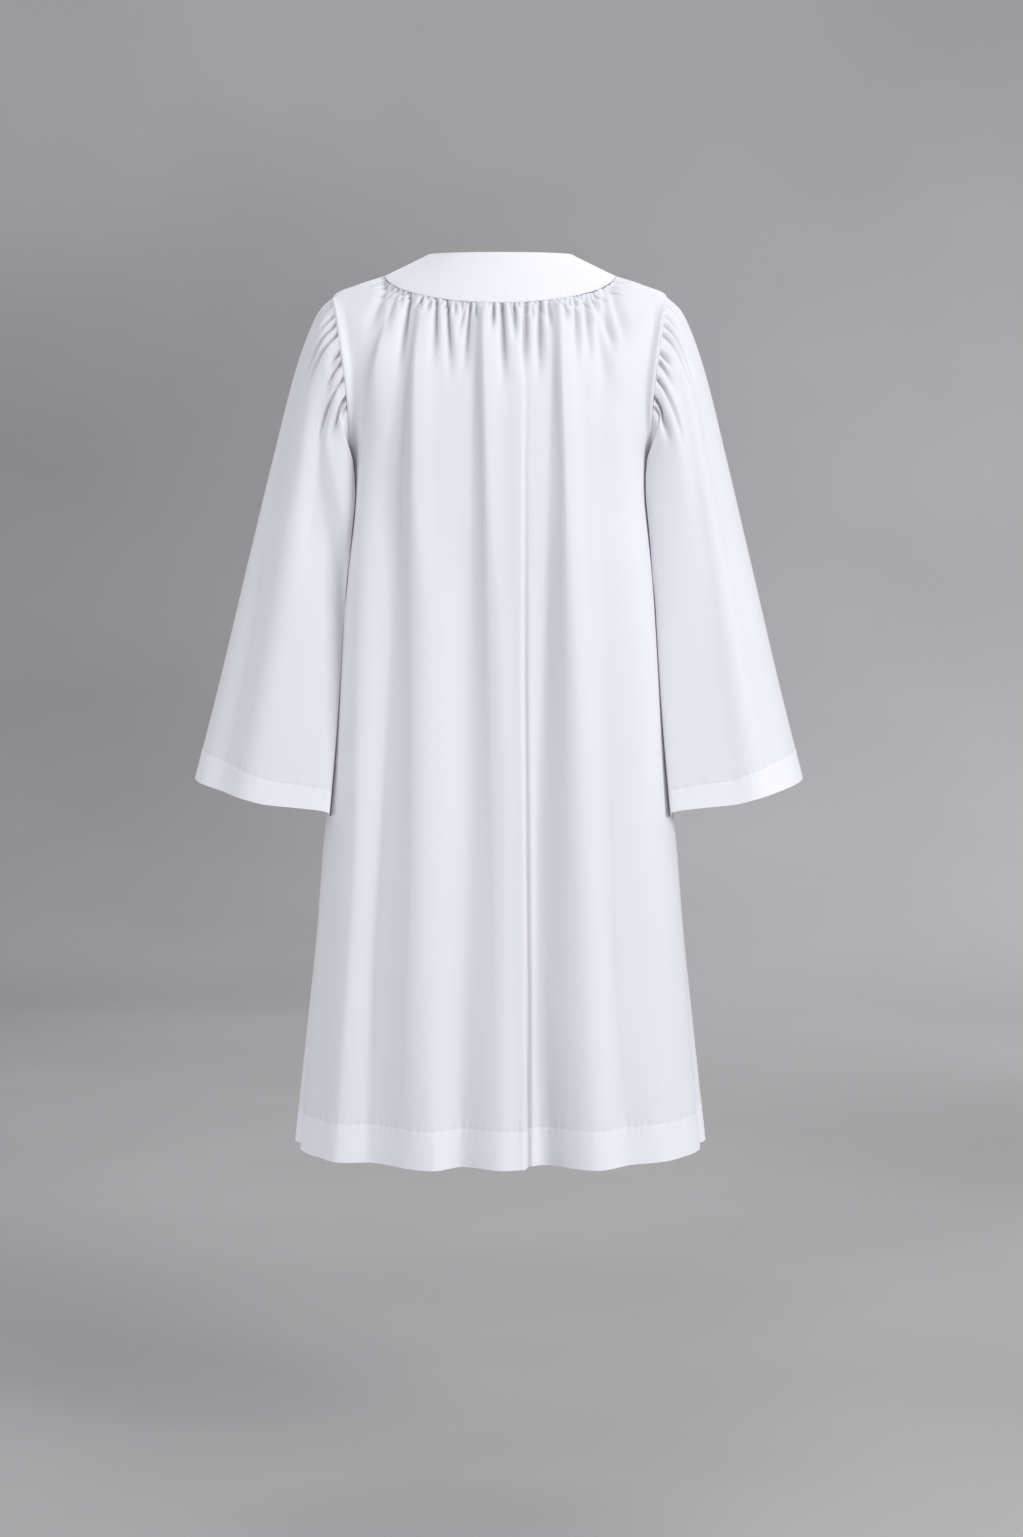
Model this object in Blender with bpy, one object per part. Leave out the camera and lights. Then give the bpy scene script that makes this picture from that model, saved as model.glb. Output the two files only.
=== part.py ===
"""A worn surplice: a round yoke, a gathered back and front, and two wide set-in sleeves.

The garment keeps the hollow form that it has on a general figure. X runs to the wearer's left, the front
faces -Y and Z is up. The origin lies midway between the shoulders, at the height where they carry the yoke.
Every piece is a wall of cloth: an outer skin worked out from the tables below, and an inner skin behind it.
"""

import math
from dataclasses import dataclass, fields

import bpy
import numpy as np

# Cloth and sewing sizes, in metres
CLOTH = 0.0016
YOKE_CLOTH = 0.0020
HEM_CLOTH = 0.0026
SEAM_GAP = 0.00035
BODY_HEM_DEPTH = 0.048
SLEEVE_HEM_DEPTH = 0.038
HEM_STEP = 0.003

# How finely the walls are divided
BACK_GATHERS = 34
FRONT_GATHERS = 24
COLUMNS_PER_GATHER = 2
YOKE_ROWS = (0.0, 0.5, 1.0)
ARMHOLE_SEGMENTS = 8
HEAD_SEGMENTS = 5
HEAD_COLUMNS = 3
UNDERARM_COLUMNS = 2
SLEEVE_ROWS = (0.0, 0.02, 0.05, 0.10, 0.18, 0.30, 0.44, 0.60, 0.76, 0.88)
SHOULDER_ROWS = (0.0, 0.15, 0.4, 0.8, 1.4)
SIDE_ROWS = (7.0, 7.5, 8.0, 8.5, 9.0, 10.0, 11.0)

# The depth of the gathers at the yoke and at the sleeve head
GATHER_AT_SEAM = 0.0011
GATHER_FULL = 0.0026
GATHER_RISE = 0.016
GATHER_LENGTH = 0.085
HEAD_GATHER_FULL = 0.0016
HEAD_GATHER_LENGTH = 0.060

# The shares of a gather's length over which it fades, under the yoke and under the sleeve head
GATHER_FADE = (0.35, 1.6)
HEAD_GATHER_FADE = (0.3, 1.5)

# How uneven the gathers are: the size, pace and start of each wave in their spacing, depth and length
GATHER_SPACING = ((0.32, 1.9, 0.6), (0.22, 0.83, 0.0))
GATHER_STRENGTH = (0.28, 2.3, 1.1)
GATHER_REACH = (0.35, 1.37, 0.0)

# Where the folds and gathers come and go: in from a panel's side edges, in metres; down a sleeve, as a share
# of it; and round a sleeve, in degrees from its outer edge, for the head's gathers and for the folds
FOLDS_IN = (0.0, 0.030)
GATHERS_IN = (0.0, 0.060)
SLEEVE_FOLDS_IN = (0.0, 0.06)
HEAD_GATHERS_OUT = (96.0, 118.0)
SLEEVE_FOLDS_OUT = (128.0, 152.0)

# The heights, below the origin, over which the folds turn from the surface's own way to level
LEVEL_FOLDS_FROM = (0.15, 0.40)

WHITE_CLOTH = (0.86, 0.87, 0.91, 1.0)
CLOTH_ROUGHNESS = 0.82


@dataclass(frozen=True)
class Neck:
    """The neck edge: half its width, its side point, and its middle at the back and the front."""

    half_width: float = 0.091
    side_y: float = -0.006
    side_z: float = 0.0265
    back_y: float = 0.060
    back_z: float = 0.0265
    front_y: float = -0.086
    front_z: float = -0.052


@dataclass(frozen=True)
class Level:
    """One level of the body: its middle at the back and front, its side edge, and how far it turns."""

    back_y: float
    back_z: float
    front_y: float
    front_z: float
    side_x: float
    side_y: float
    side_z: float
    turn: float
    squareness: float
    ease: float


@dataclass(frozen=True)
class Section:
    """One section of a sleeve: its outer and inner ends, its depth behind and in front, and its middle."""

    place: float
    outer_x: float
    outer_z: float
    inner_x: float
    inner_z: float
    back: float
    front: float
    middle_y: float
    bow: float
    squareness: float
    inner_square: float


@dataclass(frozen=True)
class Line:
    """A ridge or a valley of the cloth: where it runs, and how far it stands out from the plain form."""

    path: tuple
    lift: tuple


# The sections of the sleeve, from the armhole down to the mouth
SECTIONS = (
    # place outer_x outer_z  inner_x inner_z  back   front  middle_y bow  squareness inner_square
    Section(0.00, 0.2105, -0.0265, 0.1880, -0.250, 0.100, 0.092, -0.004, 0.007, 2.0, 2.0),
    Section(0.05, 0.2275, -0.0420, 0.1905, -0.268, 0.104, 0.096, -0.006, 0.006, 2.05, 2.05),
    Section(0.11, 0.2410, -0.0680, 0.1918, -0.292, 0.107, 0.100, -0.012, 0.003, 2.1, 2.15),
    Section(0.22, 0.2600, -0.1220, 0.1940, -0.340, 0.112, 0.106, -0.020, 0.0, 2.1, 3.0),
    Section(0.38, 0.2875, -0.2280, 0.1980, -0.414, 0.120, 0.114, -0.028, 0.0, 2.15, 4.5),
    Section(0.58, 0.3200, -0.3640, 0.2035, -0.506, 0.132, 0.126, -0.030, 0.0, 2.2, 6.0),
    Section(0.80, 0.3540, -0.5080, 0.2120, -0.600, 0.146, 0.140, -0.031, 0.0, 2.2, 6.0),
    Section(1.00, 0.3860, -0.6350, 0.2200, -0.678, 0.158, 0.152, -0.033, 0.0, 2.2, 5.0),
)

# The levels of the body: the yoke seam, the shoulder, six levels along the armhole, then the side seam
ARMHOLE_TOP = 2
UNDERARM = 7
LEVELS = (
    # back_y back_z  front_y front_z  side_x side_y side_z  turn squareness ease
    Level(0.108, -0.0375, -0.128, -0.114, 0.1460, -0.006, 0.0000, 90.0, 2.0, 0.1),
    Level(0.121, -0.0720, -0.139, -0.140, 0.1800, -0.005, -0.0110, 80.0, 2.05, 0.3),
    Level(0.130, -0.1060, -0.146, -0.165, 0.2105, -0.004, -0.0265, 68.0, 2.1, 0.9),
    Level(0.137, -0.1430, -0.151, -0.192, 0.0, 0.0, 0.0, 60.0, 2.2, 1.0),
    Level(0.141, -0.1820, -0.154, -0.220, 0.0, 0.0, 0.0, 55.0, 2.3, 1.0),
    Level(0.144, -0.2220, -0.157, -0.248, 0.0, 0.0, 0.0, 57.0, 2.4, 1.0),
    Level(0.146, -0.2620, -0.159, -0.276, 0.0, 0.0, 0.0, 73.0, 2.6, 1.0),
    Level(0.148, -0.3000, -0.161, -0.304, 0.1880, -0.004, -0.2500, 90.0, 3.0, 1.0),
    Level(0.151, -0.3900, -0.165, -0.390, 0.1940, 0.014, -0.3700, 90.0, 3.6, 1.0),
    Level(0.157, -0.5300, -0.171, -0.530, 0.2030, 0.022, -0.5300, 90.0, 4.0, 1.0),
    Level(0.167, -0.7200, -0.180, -0.720, 0.2200, 0.026, -0.7200, 90.0, 3.6, 1.0),
    Level(0.180, -0.9100, -0.191, -0.910, 0.2415, 0.026, -0.9080, 90.0, 3.0, 1.0),
    Level(0.196, -1.1055, -0.203, -1.1055, 0.2630, 0.024, -1.0990, 90.0, 2.6, 1.0),
)
HEM_LEVEL = len(LEVELS) - 1

# The ridges and valleys of the body, from the wearer's left to the right: X, in metres, and then how far
# each stands out, in millimetres, at each of these heights
FOLD_HEIGHTS = (-0.034, -0.12, -0.25, -0.45, -0.70, -0.90, -1.105)
BACK_LINES = (
    Line((0.136, 0.160, 0.179, 0.1925, 0.205, 0.220, 0.234), (-1, -2, -2, -4, -4, -4, -4)),
    Line((0.122, 0.146, 0.160, 0.1680, 0.1775, 0.190, 0.205), (1, 2, 2, 4, 4, 5, 4)),
    Line((0.102, 0.115, 0.124, 0.133, 0.149, 0.161, 0.165), (-2, -6, -9, -11, -14, -17, -20)),
    Line((0.089, 0.099, 0.098, 0.086, 0.0875, 0.090, 0.0825), (2, 4, 6, 7, 10, 11, 11)),
    Line((0.034, 0.033, 0.035, 0.0375, 0.037, 0.0425, 0.0475), (-2, -5, -8, -10, -10, -12, -20)),
    Line((0.018, 0.015, 0.010, -0.0025, -0.010, -0.0075, -0.005), (2, 4, 5, 6, 6, 6, 5)),
    Line((-0.020, -0.020, -0.020, -0.020, -0.022, -0.023, -0.024), (2, 3, 4, 5, 5, 4, -1)),
    Line((-0.040, -0.040, -0.040, -0.040, -0.042, -0.043, -0.043), (-1, -3, -4, -6, -11, -16, -27)),
    Line((-0.061, -0.062, -0.060, -0.056, -0.050, -0.050, -0.056), (-2, -5, -8, -11, -14, -18, -32)),
    Line((-0.077, -0.080, -0.084, -0.094, -0.105, -0.1125, -0.121), (2, 5, 8, 11, 13, 14, 15)),
    Line((-0.1150, -0.1200, -0.130, -0.135, -0.140, -0.1475, -0.1675), (-1, -2, -3, -1, 1, 0, -6)),
    Line((-0.133, -0.1420, -0.1575, -0.1775, -0.1875, -0.195, -0.210), (1, 1, 2, 4, 4, 3, 1)),
    Line((-0.142, -0.165, -0.180, -0.194, -0.208, -0.222, -0.234), (0, -1, -2, -3, -3, -3, -3)),
)
FRONT_LINES = (
    Line((0.140, 0.164, 0.176, 0.188, 0.200, 0.216, 0.230), (-1, -2, -4, -6, -6, -6, -6)),
    Line((0.120, 0.140, 0.152, 0.165, 0.174, 0.186, 0.198), (1, 1, 2, 4, 6, 6, 6)),
    Line((0.102, 0.112, 0.120, 0.128, 0.138, 0.148, 0.156), (-1, -3, -6, -10, -12, -14, -18)),
    Line((0.082, 0.090, 0.093, 0.090, 0.088, 0.088, 0.088), (1, 2, 4, 8, 9, 11, 12)),
    Line((0.056, 0.057, 0.057, 0.057, 0.058, 0.060, 0.066), (-1, -3, -6, -9, -10, -12, -16)),
    Line((0.036, 0.036, 0.033, 0.030, 0.026, 0.024, 0.020), (1, 2, 4, 6, 7, 8, 9)),
    Line((-0.002, -0.002, -0.004, -0.007, -0.012, -0.016, -0.022), (-1, -3, -5, -7, -8, -10, -16)),
    Line((-0.022, -0.022, -0.025, -0.029, -0.035, -0.042, -0.052), (1, 2, 4, 6, 7, 8, 9)),
    Line((-0.055, -0.057, -0.064, -0.073, -0.084, -0.094, -0.106), (-1, -3, -6, -9, -10, -13, -17)),
    Line((-0.075, -0.079, -0.088, -0.100, -0.116, -0.130, -0.146), (1, 2, 4, 8, 9, 11, 12)),
    Line((-0.101, -0.113, -0.125, -0.138, -0.153, -0.168, -0.184), (-1, -2, -4, -7, -8, -9, -11)),
    Line((-0.121, -0.137, -0.152, -0.166, -0.180, -0.196, -0.214), (1, 1, 2, 4, 4, 4, 4)),
    Line((-0.141, -0.162, -0.174, -0.188, -0.200, -0.216, -0.232), (-1, -2, -3, -4, -4, -4, -4)),
)

# The ridges and valleys of a sleeve, from its underside in front, over its outer edge, to its underside
# behind: the angle round it in degrees, and how far each stands out, in millimetres, at these places down it
SLEEVE_PLACES = (0.0, 0.33, 0.66, 1.0)
LEFT_SLEEVE_LINES = (
    Line((-110.0, -132.0, -140.0, -146.0), (-1, -4, -4, -3)),
    Line((-92.0, -108.0, -116.0, -122.0), (1, 2, 4, 5)),
    Line((-72.0, -80.0, -88.0, -92.0), (-1, -4, -6, -7)),
    Line((-54.0, -58.0, -62.0, -64.0), (1, 2, 4, 6)),
    Line((-30.0, -34.0, -38.0, -38.0), (-1, -2, -3, -4)),
    Line((8.0, 12.0, 28.0, 34.0), (0, 1, 4, 7)),
    Line((20.0, 30.0, 48.0, 55.0), (0, -3, -8, -10)),
    Line((48.0, 74.0, 96.0, 98.0), (1, 3, 4, 5)),
    Line((72.0, 100.0, 132.0, 138.0), (-1, -4, -3, -1)),
    Line((94.0, 126.0, 150.0, 154.0), (1, 1, 1, 0)),
)
RIGHT_SLEEVE_LINES = (
    Line((-112.0, -134.0, -142.0, -148.0), (-1, -4, -4, -3)),
    Line((-90.0, -106.0, -114.0, -118.0), (1, 2, 4, 5)),
    Line((-68.0, -76.0, -84.0, -88.0), (-1, -4, -6, -8)),
    Line((-48.0, -52.0, -56.0, -58.0), (1, 2, 4, 6)),
    Line((-22.0, -26.0, -28.0, -28.0), (-1, -2, -3, -3)),
    Line((20.0, 26.0, 30.0, 32.0), (1, 1, 2, 3)),
    Line((40.0, 52.0, 56.0, 60.0), (-1, -2, -2, -2)),
    Line((52.0, 66.0, 72.0, 78.0), (1, 1, 1, 1)),
    Line((66.0, 80.0, 88.0, 96.0), (-2, -2, -2, -1)),
    Line((82.0, 100.0, 114.0, 122.0), (1, 2, 3, 3)),
    Line((100.0, 134.0, 150.0, 154.0), (-2, -6, -4, -4)),
)

# The tuck in the side of the body, where the back falls in front of the front
SIDE_TUCK_DEPTH = 0.016
SIDE_TUCK_AT = 0.035
SIDE_TUCK_WIDTH = 0.020
SIDE_TUCK_START = -0.62


def column(rows, name):
    """One named column of a table, as an array."""
    return np.array([getattr(row, name) for row in rows], dtype=float)


def smooth(places, values, at):
    """A curve through a table's rows that never swings past them."""
    places = np.asarray(places, dtype=float)
    values = np.asarray(values, dtype=float)
    at = np.clip(np.asarray(at, dtype=float), places[0], places[-1])
    steps = np.diff(places)
    slopes = np.diff(values) / steps
    tangents = np.zeros(len(places))
    tangents[0], tangents[-1] = slopes[0], slopes[-1]
    for k in range(1, len(places) - 1):
        before, after = slopes[k - 1], slopes[k]
        if before * after > 0:
            first = 2 * steps[k] + steps[k - 1]
            second = steps[k] + 2 * steps[k - 1]
            tangents[k] = (first + second) / (first / before + second / after)
    k = np.clip(np.searchsorted(places, at, side="right") - 1, 0, len(steps) - 1)
    s = (at - places[k]) / steps[k]
    start = (1 + 2 * s) * (1 - s) ** 2 * values[k] + s * (1 - s) ** 2 * steps[k] * tangents[k]
    end = s**2 * (3 - 2 * s) * values[k + 1] + s**2 * (s - 1) * steps[k] * tangents[k + 1]
    return start + end


def ramp(value, start, end):
    """A soft step from 0 at start to 1 at end."""
    s = np.clip((value - start) / (end - start), 0.0, 1.0)
    return s * s * (3 - 2 * s)


def rounded(share, ease):
    """Eases a share from 0 to 1 so that the surface is level where it crosses the shoulder."""
    return (np.sqrt(share**2 + ease**2) - ease) / (math.sqrt(1 + ease**2) - ease)


def unit(vectors):
    """The same vectors, one metre long."""
    return vectors / np.linalg.norm(vectors, axis=-1, keepdims=True)


def sleeve_points(places, angles):
    """The plain form of the left sleeve, without folds, as a grid of places down it and angles round it."""
    given = column(SECTIONS, "place")
    names = [field.name for field in fields(Section)]
    s = {name: smooth(given, column(SECTIONS, name), places)[:, None] for name in names}
    cosine = np.cos(np.radians(angles))[None, :]
    sine = np.sin(np.radians(angles))[None, :]
    power = 2 / s["squareness"]
    along = np.sign(cosine) * np.abs(cosine) ** power
    across = np.sign(sine) * np.abs(sine) ** power
    square = np.where(cosine < 0, s["inner_square"], s["squareness"])
    reach = (np.abs(along) ** square + np.abs(across) ** square) ** (-1 / square)
    along, across = along * reach, across * reach
    depth = np.where(sine > 0, s["back"], s["front"])
    x = (s["outer_x"] + s["inner_x"]) / 2 + (s["outer_x"] - s["inner_x"]) / 2 * along - s["bow"] * sine**2
    y = s["middle_y"] + depth * across
    z = (s["outer_z"] + s["inner_z"]) / 2 + (s["outer_z"] - s["inner_z"]) / 2 * along
    return np.stack([x, y, z], axis=-1)


def level_at(rows, side):
    """The middle, side edge, turn, squareness and ease of the body at each row, behind or in front."""
    number = np.arange(len(LEVELS))
    middles = ("back_y", "back_z") if side > 0 else ("front_y", "front_z")
    middle = np.stack([smooth(number, column(LEVELS, name), rows) for name in middles], axis=-1)
    turn = smooth(number, column(LEVELS, "turn"), rows)
    squareness = smooth(number, column(LEVELS, "squareness"), rows)
    ease = smooth(number, column(LEVELS, "ease"), rows)
    kept = [k for k in number if k <= ARMHOLE_TOP or k >= UNDERARM]
    edge = np.stack(
        [smooth(kept, column(LEVELS, name)[kept], rows) for name in ("side_x", "side_y", "side_z")], axis=-1
    )
    on_armhole = (rows > ARMHOLE_TOP) & (rows < UNDERARM)
    angles = side * 180.0 * (rows - ARMHOLE_TOP) / (UNDERARM - ARMHOLE_TOP)
    armhole = sleeve_points(np.zeros(1), angles)[0]
    edge[on_armhole] = armhole[on_armhole]
    return middle, edge, np.radians(turn), squareness, ease


def row_line(middle, edge, turn, squareness, ease):
    """One row as a fine line from the middle of the body to its left side edge, and how far along it runs."""
    step = np.linspace(0.0, 1.0, 321)
    phi = turn * (1 - np.cos(math.pi * step)) / 2
    power = 2 / squareness
    x = edge[0] * (np.sin(phi) / math.sin(turn)) ** power
    end = max(math.cos(turn), 0.0) ** power
    share = (np.clip(np.cos(phi), 0.0, 1.0) ** power - end) / (1 - end)
    y = edge[1] + (middle[0] - edge[1]) * share
    z = edge[2] + (middle[1] - edge[2]) * rounded(share, ease)
    curve = np.stack([x, y, z], axis=-1)
    length = np.concatenate([[0.0], np.cumsum(np.linalg.norm(np.diff(curve, axis=0), axis=-1))])
    return curve, length


def along_row(line, shares, even=None):
    """Points along one row, from the middle of the body at share 0 to its side edges at -1 and 1.

    Where an even length is given, the points near the middle lie as they would on a row of that length.
    """
    curve, length = line
    even = length[-1] if even is None else even
    at = np.abs(shares) * (even + (length[-1] - even) * shares**2)
    points = np.stack([np.interp(at, length, curve[:, k]) for k in range(3)], axis=-1)
    points[:, 0] *= np.sign(shares)
    return points


def body_points(rows, shares, side):
    """The plain form of the back (side 1) or the front (side -1), as a grid of rows and columns."""
    at = level_at(rows, side)
    lines = [row_line(*(value[k] for value in at)) for k in range(len(rows))]
    ends = level_at(np.array([ARMHOLE_TOP, UNDERARM], dtype=float), side)
    full = [row_line(*(value[k] for value in ends))[1][-1] for k in range(2)]
    spread = np.interp(rows, (ARMHOLE_TOP, UNDERARM), full)
    even = [spread[k] if ARMHOLE_TOP < rows[k] < UNDERARM else None for k in range(len(rows))]
    return np.array([along_row(line, shares, length) for line, length in zip(lines, even)])


def yoke_points(rows, turns):
    """The plain form of the yoke, from the neck edge at row 0 to the yoke seam at row 1, all the way round.

    A turn of 0 is the middle of the back, 0.25 the left shoulder, 0.5 the front and 0.75 the right shoulder.
    """
    neck = Neck()
    place = (np.asarray(turns) % 1.0) * 4
    share = np.where(place <= 1, place, np.where(place <= 3, 2 - place, place - 4))
    behind = (place <= 1) | (place >= 3)
    rings = []
    for side, middle in ((1, (neck.back_y, neck.back_z)), (-1, (neck.front_y, neck.front_z))):
        at = [value[0] for value in level_at(np.zeros(1), side)]
        inner = along_row(row_line(middle, (neck.half_width, neck.side_y, neck.side_z), *at[2:]), share)
        outer = along_row(row_line(*at), share)
        rings.append((inner, outer))
    inner = np.where(behind[:, None], rings[0][0], rings[1][0])
    outer = np.where(behind[:, None], rings[0][1], rings[1][1])
    rows = np.asarray(rows)[:, None, None]
    return inner[None] * (1 - rows) + outer[None] * rows


def normals(grid, outward, closed=False):
    """The outward direction of a grid's surface at each of its points."""
    down = np.gradient(grid, axis=0)
    if closed:
        wide = np.concatenate([grid[:, -1:], grid, grid[:, :1]], axis=1)
        across = np.gradient(wide, axis=1)[:, 1:-1]
    else:
        across = np.gradient(grid, axis=1)
    return outward * unit(np.cross(down, across))


def relief_between(position, lines, places, at):
    """How far the surface stands out between its ridges and valleys.

    The position is measured across the lines. These are given at the places, and each point has a place.
    """
    paths = [smooth(places, line.path, at) for line in lines]
    lifts = [smooth(places, line.lift, at) / 1000 for line in lines]
    relief = lifts[0] + np.zeros(position.shape)
    for k in range(len(lines) - 1):
        relief += (lifts[k + 1] - lifts[k]) * ramp(position, paths[k], paths[k + 1])
    return relief


def fold_relief(grid, lines):
    """How far the long folds move the body's surface, from the X and Z of its points."""
    heights = -np.array(FOLD_HEIGHTS)
    return relief_between(grid[..., 0], lines, heights, -grid[..., 2])


def fold_direction(out, grid):
    """The way the folds stand out: level where the cloth hangs, the surface's own way on the shoulders."""
    way = out.copy()
    way[..., 2] *= 1 - ramp(-grid[..., 2], *LEVEL_FOLDS_FROM)
    return unit(way)


def gather_phase(shares, count):
    """How many gathers lie between the right edge and each share, with uneven widths."""
    even = (shares + 1) / 2 * count
    envelope = np.sin(math.pi * np.clip((shares + 1) / 2, 0, 1))
    uneven = sum(size * np.sin(pace * even + start) for size, pace, start in GATHER_SPACING)
    return even + envelope * uneven


def gather_columns(count):
    """The shares at the crests and valleys of the gathers."""
    fine = np.linspace(-1.0, 1.0, 4001)
    wanted = np.arange(count * COLUMNS_PER_GATHER + 1) / COLUMNS_PER_GATHER
    return np.interp(wanted, gather_phase(fine, count), fine)


def gather_relief(grid, shares, count):
    """The gathers under the yoke seam: fullest just below it, uneven, and gone a hand's width down."""
    phase = gather_phase(shares, count)[None, :]
    distance = np.linalg.norm(grid - grid[:1], axis=-1)
    size, pace, start = GATHER_STRENGTH
    strength = 1 - size + size * np.sin(pace * phase + start)
    size, pace, start = GATHER_REACH
    length = GATHER_LENGTH * (1 + size * np.sin(pace * phase + start))
    full = GATHER_AT_SEAM + (GATHER_FULL - GATHER_AT_SEAM) * ramp(distance, 0.0, GATHER_RISE)
    fade = 1 - ramp(distance, GATHER_FADE[0] * length, GATHER_FADE[1] * length)
    return full * strength * fade * np.cos(2 * math.pi * phase)


def distance_from_edges(grid):
    """How far each point of a panel lies from the nearer of its side edges, along its row."""
    steps = np.linalg.norm(np.diff(grid, axis=1), axis=-1)
    start = np.concatenate([np.zeros((len(grid), 1)), np.cumsum(steps, axis=1)], axis=1)
    return np.minimum(start, start[:, -1:] - start)


def side_tuck(grid, edge):
    """The tuck near each side seam, which deepens towards the hem."""
    depth = SIDE_TUCK_DEPTH * ramp(-grid[..., 2], -SIDE_TUCK_START, -FOLD_HEIGHTS[-1])
    return -depth * np.exp(-(((edge - SIDE_TUCK_AT) / SIDE_TUCK_WIDTH) ** 2))


def hem_thickness(distance_up, hem_depth):
    """The thickness of the wall: more where the hem is turned up inside."""
    return np.where(distance_up < hem_depth + HEM_STEP / 2, HEM_CLOTH, CLOTH)


def seam_step(edge, inside, out):
    """Half a seam's gap, from an edge into its piece, at right angles to the rim."""
    out = unit(out)
    way = inside - edge
    way = way - np.sum(way * out, axis=-1, keepdims=True) * out
    return SEAM_GAP / 2 * unit(way)


def tighten(grid, plain, out):
    """Draws the seam edges of a panel in by half a seam's gap."""
    top = seam_step(plain[0], plain[1], out[0])
    left = seam_step(plain[:, 0], plain[:, 1], out[:, 0])
    right = seam_step(plain[:, -1], plain[:, -2], out[:, -1])
    grid[0] += top
    grid[:, 0] += left
    grid[:, -1] += right


def wall(outer, inner, closed):
    """The vertices and triangles of a wall between two skins, with its faces pointing outwards.

    The rows of both skins run down and their columns run from left to right as seen from outside.
    """
    rows, columns = outer.shape[:2]
    vertices = np.concatenate([outer.reshape(-1, 3), inner.reshape(-1, 3)])
    shift = rows * columns
    faces = []

    def at(row, place):
        return row * columns + place % columns

    spans = columns if closed else columns - 1
    for row in range(rows - 1):
        for k in range(spans):
            a, b = at(row, k), at(row, k + 1)
            c, d = at(row + 1, k + 1), at(row + 1, k)
            faces += [(a, d, c), (a, c, b)]
            faces += [(a + shift, c + shift, d + shift), (a + shift, b + shift, c + shift)]
    for k in range(spans):
        a, b = at(0, k), at(0, k + 1)
        faces += [(a, b, b + shift), (a, b + shift, a + shift)]
        a, b = at(rows - 1, k), at(rows - 1, k + 1)
        faces += [(b, a, a + shift), (b, a + shift, b + shift)]
    if not closed:
        for row in range(rows - 1):
            a, b = at(row, 0), at(row + 1, 0)
            faces += [(b, a, a + shift), (b, a + shift, b + shift)]
            a, b = at(row, columns - 1), at(row + 1, columns - 1)
            faces += [(a, b, b + shift), (a, b + shift, a + shift)]
    return vertices, faces


def cloth_material(name, colour):
    """White cloth for one piece."""
    material = bpy.data.materials.new(name)
    material.use_nodes = True
    shader = material.node_tree.nodes["Principled BSDF"]
    shader.inputs["Base Color"].default_value = colour
    shader.inputs["Roughness"].default_value = CLOTH_ROUGHNESS
    shader.inputs["Metallic"].default_value = 0.0
    shader.inputs["Sheen Weight"].default_value = 0.2
    return material


def make_piece(name, outer, inner, closed=False):
    """One piece of the garment, as an object with a material of its own."""
    vertices, faces = wall(outer, inner, closed)
    mesh = bpy.data.meshes.new(name)
    mesh.from_pydata(vertices.tolist(), [], faces)
    mesh.validate()
    mesh.shade_smooth()
    mesh.set_sharp_from_angle(angle=math.radians(50))
    mesh.materials.append(cloth_material(name + "_cloth", WHITE_CLOTH))
    piece = bpy.data.objects.new(name, mesh)
    bpy.context.scene.collection.objects.link(piece)
    return piece


def panel_rows():
    """The rows of a body panel, from the yoke seam down to the hem."""
    armhole = ARMHOLE_TOP + np.arange(ARMHOLE_SEGMENTS) * (UNDERARM - ARMHOLE_TOP) / ARMHOLE_SEGMENTS
    fall = LEVELS[HEM_LEVEL - 1].back_z - LEVELS[HEM_LEVEL].back_z
    stitched = HEM_LEVEL - BODY_HEM_DEPTH / fall
    step = HEM_STEP / fall
    hem = (stitched - step, stitched, HEM_LEVEL)
    return np.array([*SHOULDER_ROWS, *armhole, *SIDE_ROWS, *hem], dtype=float)


def yoke_seam_direction(shares, side):
    """The direction of the rim along the yoke seam, halfway between the yoke's surface and the panel's."""
    turns = shares / 4 if side > 0 else (2 - shares) / 4
    order = side * np.sign(shares[-1] - shares[0])
    yoke = normals(yoke_points((0.9, 1.0), turns), -order)[-1]
    panel = normals(body_points(np.array([0.0, 0.15]), shares, side), -order)[0]
    direction = yoke + panel
    direction[np.abs(shares) > 0.999, 1] = 0.0
    return unit(direction)


def armhole_rims():
    """The directions of the panels' and the sleeve's rims at the rows of the left armhole, all round it.

    Where the two surfaces run on into each other, as over the shoulder, both rims share one direction.
    """
    rows = panel_rows()
    armhole = (rows >= ARMHOLE_TOP) & (rows <= UNDERARM)
    behind = normals(body_points(rows, np.array([1.0, 0.97]), 1), 1.0)[armhole, 0]
    in_front = normals(body_points(rows, np.array([0.97, 1.0]), -1), 1.0)[armhole, -1]
    for end in (0, -1):
        behind[end, 1] = in_front[end, 1] = 0.0
    panel = np.concatenate([unit(behind), unit(in_front)[-2:0:-1]])
    angles = 180.0 * np.arange(2 * ARMHOLE_SEGMENTS) / ARMHOLE_SEGMENTS
    top = sleeve_points(np.array([0.0, 0.03]), np.where(angles > 180, angles - 360, angles))
    sleeve = normals(top, 1.0, closed=True)[0]
    agree = ramp(np.sum(panel * sleeve, axis=-1, keepdims=True), -0.5, 0.9)
    return unit(panel + agree * sleeve), unit(sleeve + agree * panel)


def round_the_ring(values, angles):
    """Values at the armhole's rows, with straight runs between them, at any angle round it."""
    rows = 180.0 * np.arange(2 * ARMHOLE_SEGMENTS + 1) / ARMHOLE_SEGMENTS
    ring = np.concatenate([values, values[:1]])
    turned = np.where(angles < 0, angles + 360, angles)
    return np.stack([np.interp(turned, rows, ring[:, k]) for k in range(3)], axis=-1)


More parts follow.
